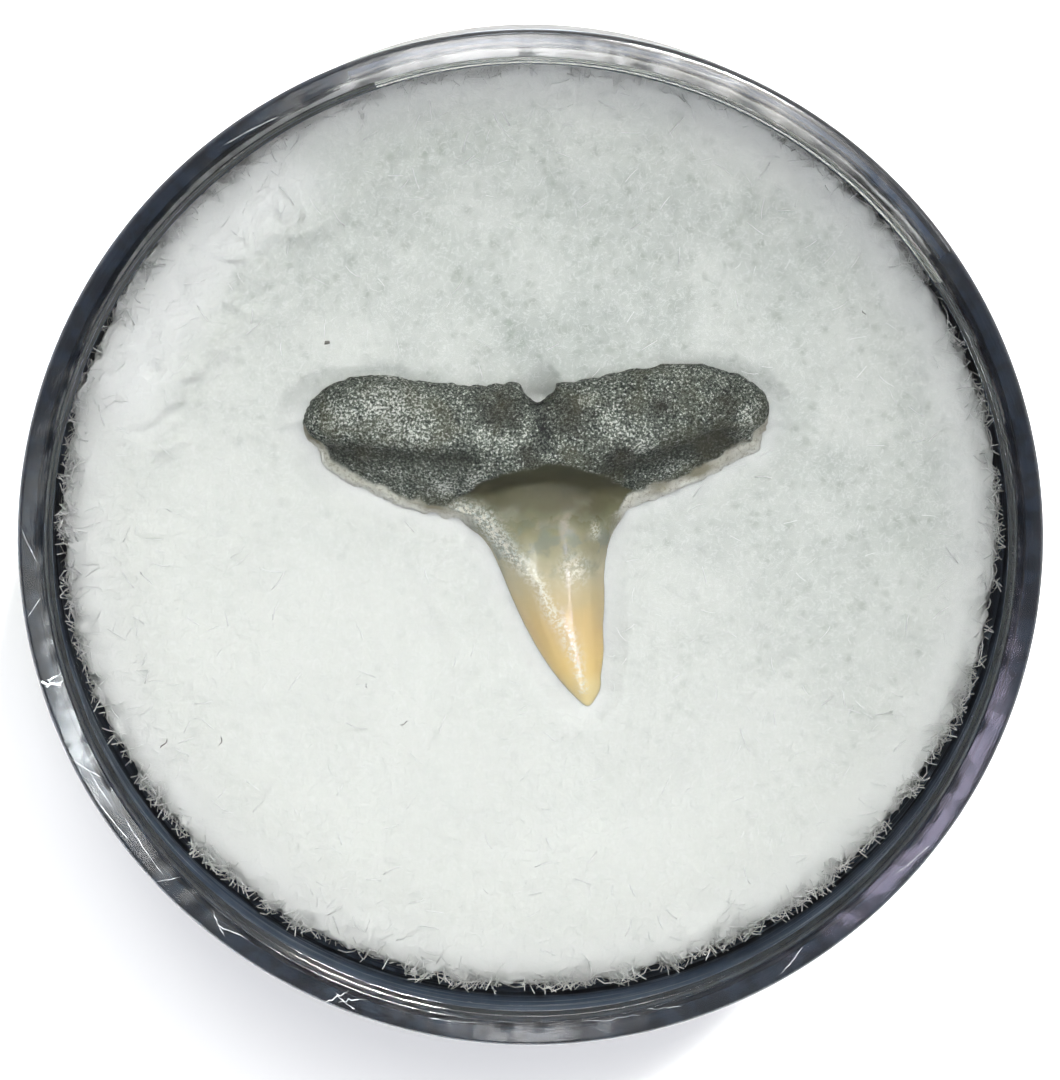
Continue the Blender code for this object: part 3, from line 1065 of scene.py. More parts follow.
@dataclass
class Tooth:
    """The carved tooth, its forms named in millimetres in the case's plan.

    Spots are x, y and width, and strokes push the outline in or out.
    """

    voxel: float = 0.062
    smoothing: int = 6
    junction_smoothing: int = 70
    arch_top: tuple[float, float] = (0.75, 2.62)
    arch_fall: float = 0.11
    crown_top: float = 2.7
    tip_y: float = -6.9
    shoulder_depth: float = 0.7
    left_shoulder: float = -2.3
    right_shoulder: float = 3.1
    trough_paths: tuple[Path, ...] = (
        ((-7.7, 3.0), (-5.0, 2.85), (-2.4, 2.75)),
        ((3.0, 2.35), (5.2, 2.85), (7.3, 3.65)),
    )
    streak_path: Path = (
        (-2.7, 0.75),
        (-1.8, 0.4),
        (-1.2, -0.35),
        (-0.4, -1.35),
        (0.36, -2.1),
        (0.78, -3.1),
        (1.35, -3.95),
        (1.75, -5.2),
        (1.95, -6.3),
    )
    # Middle of a painted sheen patch on the crown.
    sheen_patch: tuple[float, float] = (1.65, -1.6)
    groove_path: Path = ((0.30, 5.1), (0.42, 4.2), (0.62, 3.3))
    edge_specks: tuple[float, float] = (2.46, -0.05)
    pale_spots: tuple = (
        (3.03, 4.35, 0.45),
        (3.4, 3.9, 0.35),
        (4.3, 3.35, 0.45),
        (5.4, 2.6, 0.4),
        (-0.9, 3.65, 0.5),
        (-0.3, 3.9, 0.35),
        (-1.9, 3.6, 0.4),
        (-2.1, 2.1, 0.55),
        (-3.3, 1.7, 0.5),
        (-5.2, 4.3, 1.5),
        (-7.1, 4.3, 0.8),
        (8.2, 4.3, 0.4),
        (2.2, 5.1, 0.4),
    )
    dark_spots: tuple = (
        (-1.1, 4.7, 0.7),
        (1.5, 4.5, 0.8),
        (7.4, 3.35, 0.55),
        (6.7, 3.1, 0.5),
        (7.35, 4.9, 0.45),
        (5.0, 4.9, 0.4),
        (-6.3, 2.9, 0.5),
        (-0.1, 2.95, 0.4),
        (3.4, 2.95, 0.5),
    )
    strokes: tuple[Stroke, ...] = (
        Stroke(2.95, -3.2, 1.0, 0.09, 0.0),
        Stroke(2.75, -5.0, 1.0, 0.16, 0.0),
        Stroke(2.45, -6.3, 0.5, 0.16, 0.02),
        Stroke(1.70, -6.75, 0.35, -0.05, 0.04),
        Stroke(-0.67, 5.75, 0.28, 0.0, 0.16),
        Stroke(0.30, 5.00, 0.30, 0.0, -0.14),
        Stroke(0.75, 5.60, 0.30, -0.10, 0.06),
        Stroke(6.10, 6.40, 0.45, 0.0, 0.12),
        Stroke(8.75, 3.55, 0.30, -0.16, 0.02),
        Stroke(8.60, 3.05, 0.30, 0.10, -0.08),
        Stroke(-8.15, 3.00, 0.40, 0.14, 0.10),
        Stroke(-7.95, 2.35, 0.35, -0.10, -0.06),
        Stroke(-3.25, 0.25, 0.22, -0.04, -0.14),
        Stroke(-3.75, 0.45, 0.25, 0.0, 0.10),
        Stroke(-5.6, 1.1, 0.35, 0.0, 0.07),
        Stroke(4.4, 0.85, 0.35, 0.0, 0.07),
    )
    plan: np.ndarray = field(default_factory=lambda: np.zeros((0, 3)))

    def block_in(self) -> bpy.types.Object:
        """The node's form, merged, evenly meshed and smoothed.

        Returns:
            An object whose mesh is in millimetres.
        """
        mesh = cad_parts["tooth"].data.copy()
        mesh.materials.clear()
        mesh.transform(Matrix.Scale(1.0 / MM, 4))
        shape = bmesh.new()
        shape.from_mesh(mesh)
        bmesh.ops.remove_doubles(shape, verts=shape.verts, dist=1e-3)
        shape.to_mesh(mesh)
        shape.free()
        obj = bpy.data.objects.new("fossil_tooth", mesh)
        bpy.context.scene.collection.objects.link(obj)
        remesh = obj.modifiers.new("Even", "REMESH")
        remesh.mode = "VOXEL"
        remesh.voxel_size = self.voxel
        remesh.use_smooth_shade = True
        self.soften(obj, self.smoothing)
        self.melt_junction(obj)
        return obj

    def soften(self, obj: bpy.types.Object, turns: int, group: str = "") -> None:
        """Smooth the mesh so many times, all over or where a vertex group says."""
        smooth = obj.modifiers.new("Smooth", "SMOOTH")
        smooth.factor, smooth.iterations, smooth.vertex_group = 0.5, turns, group
        plain_mesh(obj)

    def melt_junction(self, obj: bpy.types.Object) -> None:
        """Smooth the crown's base into the root, where the two forms were joined.

        Args:
            obj: the object, in millimetres.
        """
        rows = vertices_of(obj)
        span = np.hypot((rows[:, 0] - 0.6) / 3.6, (rows[:, 1] - 0.7) / 2.1)
        weight = smoothstep(1.1, 0.75, span)
        group = obj.vertex_groups.new(name="junction")
        for step in range(1, 5):
            members = np.flatnonzero((weight * 4).round() == step)
            group.add([int(index) for index in members], step / 4, "REPLACE")
        self.soften(obj, self.junction_smoothing, group.name)

    def above_edge(self, rows: np.ndarray) -> np.ndarray:
        """How far each point lies above the lower edge of the root, in plan.

        Args:
            rows: the vertices, in millimetres.

        Returns:
            One distance for each row.
        """
        bins = np.linspace(-9.2, 9.2, 93)
        lobes = (rows[:, 0] < self.left_shoulder) | (rows[:, 0] > self.right_shoulder)
        which = np.clip(np.digitize(rows[:, 0], bins) - 1, 0, len(bins) - 2)
        lowest = np.full(len(bins) - 1, np.inf)
        np.minimum.at(lowest, which[lobes], rows[lobes, 1])
        centres = 0.5 * (bins[:-1] + bins[1:])
        known = np.isfinite(lowest)
        return rows[:, 1] - np.interp(rows[:, 0], centres[known], lowest[known])

    def masks(self, rows: np.ndarray, upright: np.ndarray) -> dict[str, np.ndarray]:
        """Where each zone of the tooth is.

        Args:
            rows: the vertices, in millimetres.
            upright: how much each vertex faces up, -1 to 1.

        Returns:
            A value from 0 to 1 for each vertex, by name.
        """
        x, y = rows[:, 0], rows[:, 1]
        arch = self.arch_top[1] - self.arch_fall * (x - self.arch_top[0]) ** 2
        enamel = smoothstep(-0.06, 0.10, arch + 0.12 * layered(11, 0.9, 3, rows) - y)
        above = self.above_edge(rows)
        on_lobes = np.maximum(
            smoothstep(0.0, 0.8, self.left_shoulder + 0.5 - x),
            smoothstep(0.0, 0.8, x - self.right_shoulder + 0.3),
        )
        ragged = self.shoulder_depth + 0.22 * layered(23, 0.7, 3, rows)
        ragged *= 0.7 + 0.3 * smoothstep(-3.0, 3.0, x)
        shoulder = smoothstep(0.12, -0.12, above - ragged) * on_lobes
        # The troughs along the lobes, carved in and darkened: partly their own dark band, partly
        # painted shade.
        troughs = [mound(path_distance(rows, path), 0.42) for path in self.trough_paths]
        width = 0.3 + 0.08 * smoothstep(-1.4, 0.2, y) - 0.14 * smoothstep(-4.0, -6.0, y)
        # The streak along the crown's ridge: wear and a painted highlight, with a painted sheen
        # patch and white specks at the right edge.
        streak = mound(path_distance(rows, self.streak_path), width)
        # The gleam, where the painted reflection goes: the upper part of the streak.
        gleam = streak * smoothstep(-1.9, -0.9, y)
        patch = np.hypot(x - self.sheen_patch[0], (y - self.sheen_patch[1]) * 0.9)
        specks = np.hypot(x - self.edge_specks[0], (y - self.edge_specks[1]) * 0.6)
        streak = np.maximum(streak, np.maximum(mound(patch, 0.5), 0.75 * mound(specks, 0.2)))
        groove = mound(path_distance(rows, self.groove_path), 0.3)
        return {
            "gleam": gleam,
            "groove": groove * (1.0 - enamel),
            "pale": self.spots(rows, self.pale_spots),
            "dark": self.spots(rows, self.dark_spots),
            "enamel": enamel * (1.0 - shoulder),
            "shoulder": shoulder,
            # The lobes' lower edge: a pale rim, whitened further as painted light.
            "shoulder_edge": smoothstep(0.34, 0.04, above) * on_lobes,
            "trough": np.maximum(*troughs) * (1.0 - enamel),
            "streak": streak,
            # The crown's faces that turn sideways or down, for painted light.
            "blade_edge": smoothstep(0.55, 0.1, upright) * smoothstep(0.8, -0.4, y),
            "crown_run": np.clip((self.crown_top - y) / (self.crown_top - self.tip_y), 0.0, 1.0),
        }

    def spots(self, rows: np.ndarray, spots: tuple) -> np.ndarray:
        """Soft spots over the surface.

        Args:
            rows: the vertices, in millimetres.
            spots: x, y and width of each.

        Returns:
            A value from 0 to 1 for each vertex.
        """
        drift = np.stack([layered(seed, 0.5, 2, rows) for seed in (101, 103)], 1)
        bent = rows[:, :2] + 0.22 * drift
        return np.max([mound(np.hypot(*(bent - (x, y)).T), width) for x, y, width in spots], 0)

    def carve(self, obj: bpy.types.Object) -> None:
        """Push the block into its true form and store the zones.

        Args:
            obj: the object from block_in.
        """
        rows, normals = vertices_of(obj), normals_of(obj)
        masks = self.masks(rows, normals[:, 2])
        upward = smoothstep(-0.1, 0.5, normals[:, 2])
        enamel = masks["enamel"]
        root = 1.0 - enamel
        lift = upward * (
            0.05 * masks["streak"] * enamel
            - 0.16 * masks["trough"]
            - 0.14 * masks["groove"]
            - 0.05 * masks["shoulder"]
        )
        lift += root * (0.045 * layered(31, 0.34, 3, rows) + 0.06 * layered(41, 1.1, 2, rows))
        lift -= root * 0.05 * smoothstep(0.38, 0.12, nearest(51, 0.42, rows))
        lift += enamel * 0.012 * layered(61, 0.9, 2, rows)
        rows = rows + normals * lift[:, None]
        for stroke in self.strokes:
            away = np.hypot(rows[:, 0] - stroke.x, rows[:, 1] - stroke.y)
            rows[:, :2] += mound(away, stroke.width)[:, None] * (stroke.right, stroke.back)
        crinkle = root * (1.0 - np.abs(normals[:, 2])) * 0.05 * layered(71, 0.42, 2, rows)
        rows[:, :2] += normals[:, :2] * crinkle[:, None]
        low, high = (np.array(corner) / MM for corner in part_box("tooth"))
        self.plan = np.clip(rows, low, high)
        for name, values in masks.items():
            set_attribute(obj, name, values)
        put_vertices(obj, self.plan * MM)

    def build(self, finish: bpy.types.Material) -> bpy.types.Object:
        """Make and dress the tooth.

        Args:
            finish: the tooth's material.

        Returns:
            The tooth.
        """
        tooth = self.block_in()
        self.carve(tooth)
        shade(tooth, True)
        tooth.data.materials.append(finish)
        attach(tooth, BODY)
        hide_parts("tooth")
        return tooth


@dataclass
class FoamPad:
    """The foam disc, pressed in under the tooth, with cells on every side, in millimetres."""

    sizes: CaseSizes
    tooth_plan: np.ndarray
    grid: int = 196
    side_rows: int = 30
    foot_round: float = 0.4
    edge_round: float = 0.45
    sag: float = 0.2
    puff: float = 0.5
    bank: float = 0.5
    cell: float = 0.62
    relief: float = 0.09
    nest_step: float = 0.15
    nest_side: int = 260

    def __post_init__(self) -> None:
        """Note the pad's radius, top and bottom in millimetres."""
        sizes = (self.sizes.pad_radius, self.sizes.pad_top, self.sizes.pad_bottom)
        self.radius, self.top, self.bottom = (size / MM for size in sizes)

    def disc(self) -> np.ndarray:
        """Square grid points bent onto a unit disc.

        Returns:
            Rows of x, y, with the square's rows one after another.
        """
        line = np.linspace(-1.0, 1.0, self.grid)
        u, v = (axis.ravel() for axis in np.meshgrid(line, line))
        wide = np.abs(u) >= np.abs(v)
        radius, other = np.where(wide, u, v), np.where(wide, v, u)
        angle = np.divide(other, radius, out=np.zeros_like(radius), where=radius != 0)
        along, aside = radius * np.cos(angle * math.pi / 4), radius * np.sin(angle * math.pi / 4)
        return np.stack([np.where(wide, along, aside), np.where(wide, aside, along)], 1)

    def rim_index(self) -> list[int]:
        """Indices of the grid's border, going round once."""
        side, steps = self.grid, range(self.grid - 1)
        bottom, right = list(steps), [side - 1 + row * side for row in steps]
        top, left = [side * side - 1 - s for s in steps], [(side - 1 - s) * side for s in steps]
        return bottom + right + top + left

    def side_profile(self) -> Profile:
        """Radius and height down the side, from the top edge's rounding to the underside.

        Returns:
            The points.
        """
        points: Profile = []
        for step in range(1, 5):
            angle = step / 4 * math.pi / 2
            inset = self.edge_round * (1.0 - math.sin(angle))
            fall = self.edge_round * (1.0 - math.cos(angle))
            points.append((self.radius - inset, self.top - fall))
        high, low = self.top - self.edge_round, self.bottom + self.foot_round
        for step in range(1, self.side_rows):
            share = step / (self.side_rows - 1)
            points.append((self.radius, high - share * (high - low)))
        for step in range(1, 4):
            angle = step / 3 * math.pi / 2
            inset = self.foot_round * (1.0 - math.cos(angle))
            points.append((self.radius - inset, low - self.foot_round * math.sin(angle)))
        return points + [(self.radius * share, self.bottom) for share in (0.8, 0.55, 0.3, 0.1)]

    def build_shape(self) -> tuple[np.ndarray, Faces]:
        """The pad's even mesh before its cells are pressed in.

        Returns:
            Vertices in millimetres and faces.
        """
        disc = self.disc() * (self.radius - self.edge_round)
        top = np.column_stack([disc, np.full(len(disc), self.top)])
        rim = self.rim_index()
        angles = np.arctan2(disc[rim, 1], disc[rim, 0])
        around = np.stack([np.cos(angles), np.sin(angles)], 1)
        layers = [
            np.column_stack([around * radius, np.full(len(rim), height)])
            for radius, height in self.side_profile()
        ]
        vertices = np.vstack([top, *layers, [[0.0, 0.0, self.bottom]]])
        side, count, last = self.grid, len(rim), len(vertices) - 1
        faces: Faces = []
        for row in range(side - 1):
            for here in range(row * side, row * side + side - 1):
                faces.append((here, here + 1, here + side + 1, here + side))
        previous = np.array(rim)
        for layer in range(len(layers)):
            current = len(top) + layer * count + np.arange(count)
            for step in range(count):
                after = (step + 1) % count
                faces.append((previous[step], current[step], current[after], previous[after]))
            previous = current
        for step in range(count):
            faces.append((previous[step], last, previous[(step + 1) % count]))
        return vertices, faces

    def nest(self, rows: np.ndarray) -> np.ndarray:
        """The height that the foam may reach at each point, so that the tooth lies in it.

        The tooth is taken on a square grid, and the foam banks up away from it.

        Args:
            rows: the vertices, in millimetres.

        Returns:
            One height for each row, in millimetres.
        """
        step, side = self.nest_step, self.nest_side
        half = step * side / 2
        spots = tuple(((self.tooth_plan[:, :2] + half) / step).round().astype(int).T)
        lowest, highest = np.full((2, side, side), self.top + self.puff)
        np.minimum.at(lowest, spots, self.tooth_plan[:, 2])
        highest[spots] = 0.0
        np.maximum.at(highest, spots, self.tooth_plan[:, 2])
        ceiling = 0.5 * (lowest + highest)
        ceiling[spots] -= 0.06
        sides = [(shift, axis) for axis in (0, 1) for shift in (-1, 1)]
        for _ in range(28):
            for shift, axis in sides:
                beside = np.roll(ceiling, shift, axis) + self.bank * step
                ceiling = np.minimum(ceiling, beside)
        for _ in range(2):
            near = sum(np.roll(ceiling, shift, axis) for shift, axis in sides)
            ceiling = np.minimum(ceiling, (ceiling + near) / 5)
        spot = (rows[:, :2] + half) / step
        base = np.clip(np.floor(spot).astype(int), 0, side - 2)
        part = np.clip(spot - base, 0.0, 1.0)
        height = np.zeros(len(rows))
        for corner in np.ndindex(2, 2):
            weight = np.prod(np.where(corner, part, 1.0 - part), axis=1)
            height += weight * ceiling[base[:, 0] + corner[0], base[:, 1] + corner[1]]
        return height

    def cells_and_shade_at(self, rows: np.ndarray) -> tuple[np.ndarray, np.ndarray]:
        """The foam's cell pattern, with painted shade for its colour.

        Args:
            rows: the vertices, in millimetres.

        Returns:
            How deep in a cell each point is, for the shape, 0 to 1, and the tone for the colour:
            the cells' grey-green with painted shade, darker towards the back right and above the
            tooth.
        """
        moved = rows + 0.4 * np.stack([layered(seed, 0.9, 2, rows) for seed in (81, 83, 85)], 1)
        large = 1.0 - smoothstep(0.05, 0.62, nearest(87, self.cell, moved))
        small = 1.0 - smoothstep(0.10, 0.55, nearest(89, self.cell * 0.55, moved))
        blur = smoothstep(-0.7, 0.7, layered(93, 0.8, 3, rows))
        shape = np.clip(0.5 * large + 0.25 * small + 0.4 * blur, 0.0, 1.0)
        patch = smoothstep(-0.6, 0.5, layered(91, 2.4, 2, rows))
        tone = (0.55 + 0.45 * shape) * (0.6 + 0.4 * patch)
        # Painted shade: the grey-green is strongest towards the back right and fades towards the
        # front left.
        tone *= 0.12 + 0.88 * smoothstep(-11.0, 11.0, rows[:, 1] + 0.5 * rows[:, 0])
        # Painted shade: a soft dark patch just above the tooth.
        tone += 0.25 * mound(np.hypot(rows[:, 0] + 0.2, rows[:, 1] - 7.0), math.sqrt(5.0))
        return shape, tone

    def light_beside_tooth(self, rows: np.ndarray, chosen: np.ndarray) -> np.ndarray:
        """How much painted light each chosen point gets against the tooth's shade, by how close it
        is to the tooth in plan; none above the tooth.

        Args:
            rows: the vertices, in millimetres.
            chosen: which of them count.

        Returns:
            A value from 0 to 1 for each row.
        """
        spots = self.tooth_plan[::8]
        tree = KDTree(len(spots))
        for index, (x, y, _) in enumerate(spots):
            tree.insert((x, y, 0.0), index)
        tree.balance()
        close = np.zeros(len(rows))
        for index in np.flatnonzero(chosen):
            close[index] = mound(tree.find((*rows[index, :2], 0.0))[2], 0.7)
        return close * 0.7 * smoothstep(6.0, 4.0, rows[:, 1])

    def build(self, finish: bpy.types.Material) -> bpy.types.Object:
        """Make and dress the pad.

        Args:
            finish: the foam's material.

        Returns:
            The pad.
        """
        rows, faces = self.build_shape()
        pad = mesh_object("foam_disc", rows, faces)
        face_outwards(pad)
        normals = normals_of(pad)
        shape, tone = self.cells_and_shade_at(rows)
        on_top = smoothstep(0.5, 0.9, normals[:, 2])
        rows = rows - normals * (self.relief * shape)[:, None]
        reach, bearing = reach_of(rows), bearing_of(rows)
        torn = smoothstep(self.radius - 1.2, self.radius, reach)
        north = smoothstep(40.0, 70.0, bearing) * smoothstep(130.0, 108.0, bearing)
        bank = smoothstep(112.0, 128.0, bearing) * smoothstep(174.0, 160.0, bearing)
        ragged = np.clip(0.5 + 0.5 * layered(95, 0.42, 2, rows), 0.0, 1.0)
        lumps = bank * np.clip(0.3 + layered(97, 0.75, 2, rows), 0.0, 1.2)
        inset = 0.36 * ragged * (1.0 - north) - 0.14 * north
        rows -= normals * (torn * inset)[:, None]
        rows[:, :2] *= (1.0 + 0.2 / 18.0 * torn * np.clip(lumps, 0.0, 1.0))[:, None]
        swell = (self.puff + 0.6 * north + 0.9 * lumps) * smoothstep(11.5, 17.4, reach)
        rows[:, 2] += swell * smoothstep(self.top - 3.0, self.top, rows[:, 2])
        sagged = rows[:, 2] - on_top * self.sag * smoothstep(11.0, 3.0, reach)
        nested = np.minimum(sagged, self.nest(rows) - self.relief * shape)
        rows[:, 2] = np.where(on_top > 0.0, nested, rows[:, 2])
        # Painted light: the pad's outer 3 mm and the foam beside the tooth are whitened against the
        # shade of the wall and the tooth; the heaped bank by the wall is whitened too.
        edge = smoothstep(self.radius - 3.0, self.radius, reach)
        near = self.light_beside_tooth(rows, (on_top > 0.0) & (reach < 12.0))
        white_bank = bank * smoothstep(13.8, 16.2, reach)
        set_attribute(pad, "painted_light_and_white_bank", np.max([edge, near, white_bank], 0))
        # The tone for the colour, painted shade included.
        set_attribute(pad, "cell", tone)
        put_vertices(pad, rows * MM)
        pad.data.materials.append(finish)
        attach(pad, BODY)
        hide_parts("foam_pad")
        return pad


class StrutField(NodeSketch):
    """A Geometry Nodes tree that strews short bent struts over a surface."""

    def __init__(self, name: str) -> None:
        """Build the tree.

        Args:
            name: the tree's name.
        """
        super().__init__(bpy.data.node_groups.new(name, "GeometryNodeTree"))
        sockets = dict.fromkeys(("Density", "Length", "Radius", "Lean", "Stand"), "Float")
        sockets = {"Geometry": "Geometry"} | sockets | {"Seed": "Int", "Material": "Material"}
        for label, kind in sockets.items():
            self.socket(label, "INPUT", kind)
        self.socket("Geometry", "OUTPUT", "Geometry")
        self.inputs = self.add("NodeGroupInput").outputs
        self.wire()

    def socket(self, label: str, side: str, kind: str) -> None:
        """Add a socket to the tree's own inputs or outputs."""
        self.tree.interface.new_socket(label, in_out=side, socket_type=f"NodeSocket{kind}")

    def strut(self, bend: float, twist: float) -> Socket:
        """One bent strut as a mesh.

        Args:
            bend: how far its middle stands out, in lengths.
            twist: how far its end turns aside, in lengths.

        Returns:
            The strut's geometry.
        """
        ends = []
        for shares in ((-0.5, 0.0, 0.0), (0.0, 0.0, bend), (0.5, twist, 0.0)):
            feeds = {i: self.times(self.inputs["Length"], s) for i, s in enumerate(shares) if s}
            ends.append(self.add("ShaderNodeCombineXYZ", feeds).outputs[0])
        feeds = {"Resolution": 3} | dict(zip(("Start", "Middle", "End"), ends))
        curve = self.add("GeometryNodeCurveQuadraticBezier", feeds)
        feeds = {"Resolution": 5, "Radius": self.inputs["Radius"]}
        ring = self.add("GeometryNodeCurvePrimitiveCircle", feeds)
        feeds = {"Curve": curve.outputs[0], "Profile Curve": ring.outputs[0], "Fill Caps": True}
        return self.add("GeometryNodeCurveToMesh", feeds).outputs[0]

    def random(self, low: Feed, high: Feed, salt: int, kind: str = "FLOAT") -> Socket:
        """A random value for each point.

        Args:
            low: its least value.
            high: its greatest value.
            salt: told apart from the tree's other random values by this.
            kind: the value's data type.

        Returns:
            The value.
        """
        node = self.add("FunctionNodeRandomValue", data_type=kind)
        shown = [socket for socket in node.inputs if socket.enabled]
        self.feed(shown[0], low)
        self.feed(shown[1], high)
        self.feed(node.inputs["Seed"], self.math("ADD", self.inputs["Seed"], float(salt)))
        return next(socket for socket in node.outputs if socket.enabled)

    def wire(self) -> None:
        """Join the nodes from the surface to the finished struts."""
        inputs = self.inputs
        share = self.add("GeometryNodeInputNamedAttribute", {"Name": "strut_share"})
        density = self.times(share.outputs["Attribute"], inputs["Density"])
        feeds = {"Mesh": inputs["Geometry"], "Density": density, "Seed": inputs["Seed"]}
        points = self.add("GeometryNodeDistributePointsOnFaces", feeds).outputs
        shapes = self.add("GeometryNodeGeometryToInstance")
        for bend, twist in ((0.1, 0.1), (0.3, -0.15), (0.05, 0.25), (0.45, 0.05)):
            self.feed(shapes.inputs[0], self.strut(bend, twist))
        feeds = {
            "Points": points["Points"],
            "Instance": shapes.outputs[0],
            "Pick Instance": True,
            "Instance Index": self.random(0, 3, 1, "INT"),
            "Rotation": points["Rotation"],
            "Scale": self.random(0.35, 1.4, 2),
        }
        placed = self.add("GeometryNodeInstanceOnPoints", feeds)
        lean = inputs["Lean"]
        least = self.times(lean, -1.0)
        feeds = {
            0: self.random(least, lean, 3),
            1: self.math("SUBTRACT", self.random(least, lean, 4), inputs["Stand"]),
            2: self.random(0.0, 2.0 * math.pi, 5),
        }
        spin = self.add("ShaderNodeCombineXYZ", feeds).outputs[0]
        feeds = {"Instances": placed.outputs[0], "Rotation": spin}
        turned = self.add("GeometryNodeRotateInstances", feeds)
        real = self.add("GeometryNodeRealizeInstances", {0: turned.outputs[0]})
        feeds = {"Geometry": real.outputs[0], "Material": inputs["Material"]}
        dressed = self.add("GeometryNodeSetMaterial", feeds)
        self.add("NodeGroupOutput", {0: dressed.outputs[0]})

    def apply(self, obj: bpy.types.Object, values: dict[str, object]) -> None:
        """Run the tree on an object and keep the plain mesh.

        Args:
            obj: the object whose mesh is the surface.
            values: the tree's inputs by name.
        """
        modifier = obj.modifiers.new("Struts", "NODES")
        modifier.node_group = self.tree
        for item in self.tree.interface.items_tree:
            if item.in_out == "INPUT" and item.name in values:
                modifier[item.identifier] = values[item.name]
        plain_mesh(obj)


@dataclass(frozen=True)
class StrutSet:
    """Struts of one kind: how many on a square metre, their sizes and how they stand."""

    name: str
    density: float
    length: float
    radius: float
    lean: float
    stand: float


@dataclass
class FoamStruts:
    """Loose struts over the pad's top and a fringe of them round its cut edge."""

    sizes: CaseSizes
    loose: StrutSet = StrutSet("foam_top_struts", 2.0e6, 0.62 * MM, 0.015 * MM, 0.35, 0.0)
    fringe: StrutSet = StrutSet("foam_edge_fringe", 84.0e6, 0.775 * MM, 0.019 * MM, 0.8, 0.55)
    seed: int = 7

    def share(self, rows: np.ndarray, normals: np.ndarray, fringe: bool) -> np.ndarray:
        """How thickly struts grow at each point of the pad.

        Args:
            rows: the pad's vertices.
            normals: their normals.
            fringe: whether struts grow on the cut edge, or else on the top.

        Returns:
            A value from 0 to 1 for each vertex.
        """
        reach, radius, top = reach_of(rows), self.sizes.pad_radius, self.sizes.pad_top
        if fringe:
            height = smoothstep(top - 0.5 * MM, top + 0.1 * MM, rows[:, 2])
            inside = smoothstep(radius - 0.8 * MM, radius - 0.3 * MM, reach)
            tufts = smoothstep(-0.25, 0.55, layered(121, 0.9, 2, rows / MM))
            return height * inside * (0.12 + 0.88 * tufts)
        near_edge = smoothstep(radius * 0.72, radius, reach)
        up = smoothstep(0.4, 0.8, normals[:, 2])
        west = 0.5 - 0.5 * rows[:, 0] / radius
        return up * (0.18 + 0.82 * near_edge * (0.45 + 0.55 * west))

    def keep_inside(self, obj: bpy.types.Object) -> None:
        """Hold every strut inside the lid.

        Args:
            obj: the struts.
        """
        rows = vertices_of(obj)
        most = self.sizes.pad_radius + 0.29 * MM
        rows[:, :2] *= np.minimum(1.0, most / np.maximum(reach_of(rows), 1e-9))[:, None]
        put_vertices(obj, rows)

    def build(self, pad: bpy.types.Object, finish: bpy.types.Material) -> list[bpy.types.Object]:
        """Make and dress the struts.

        Args:
            pad: the pad they grow on.
            finish: the struts' material.

        Returns:
            The struts on the top and those round the edge.
        """
        tree = StrutField("foam_strut_field")
        pieces = []
        for kind in (self.loose, self.fringe):
            obj = bpy.data.objects.new(kind.name, pad.data.copy())
            bpy.context.scene.collection.objects.link(obj)
            obj.data.materials.clear()
            share = self.share(vertices_of(obj), normals_of(obj), kind is self.fringe)
            set_attribute(obj, "strut_share", share)
            values = {
                "Density": kind.density,
                "Length": kind.length,
                "Radius": kind.radius,
                "Lean": kind.lean,
                "Stand": kind.stand,
                "Seed": self.seed,
                "Material": finish,
            }
            tree.apply(obj, values)
            shade(obj, False)
            self.keep_inside(obj)
            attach(obj, BODY)
            pieces.append(obj)
        return pieces


def ribbon(points: list[Vector], width: float, seed: int) -> tuple[list[Vector], Faces]:
    """A thin closed strip along points on a level surface, uneven in width.

    Args:
        points: where it runs.
        width: its mean width.
        seed: seed of its unevenness.

    Returns:
        Vertices and faces.
    """
    spread = np.random.default_rng(seed).uniform(0.4, 1.4, len(points))
    spread[0] = spread[-1] = 0.15
    vertices: list[Vector] = []
    for index, point in enumerate(points):
        ahead = points[min(index + 1, len(points) - 1)] - points[max(index - 1, 0)]
        side = ahead.cross(UP).normalized() * (0.5 * width * spread[index])
        crest = UP * (0.25 * width)
        vertices += [point - side, point + crest, point + side, point - crest]
    faces: Faces = []
    for here in range(0, 4 * (len(points) - 1), 4):
        for corner in range(4):
            after = (corner + 1) % 4
            faces.append((here + corner, here + after, here + 4 + after, here + 4 + corner))
    end = 4 * (len(points) - 1)
    return vertices, faces + [(3, 2, 1, 0), (end, end + 1, end + 2, end + 3)]


def joined(name: str, shapes: list[tuple[list[Vector], Faces]]) -> bpy.types.Object:
    """One object of several small shapes.

    Args:
        name: the piece's name.
        shapes: vertices and faces of each.

    Returns:
        The object, its faces outwards.
    """
    vertices: list[Vector] = []
    faces: Faces = []
    for points, corners in shapes:
        faces += [tuple(index + len(vertices) for index in face) for face in corners]
        vertices += points
    obj = mesh_object(name, np.array([tuple(point) for point in vertices]), faces)
    face_outwards(obj)
    return obj


@dataclass(frozen=True)
class Scratch:
    """A scratch on the rim: bearing and inset where it starts and ends, and how jagged it is."""

    start: tuple[float, float]
    end: tuple[float, float]
    width: float
    jag: float
    steps: int = 9


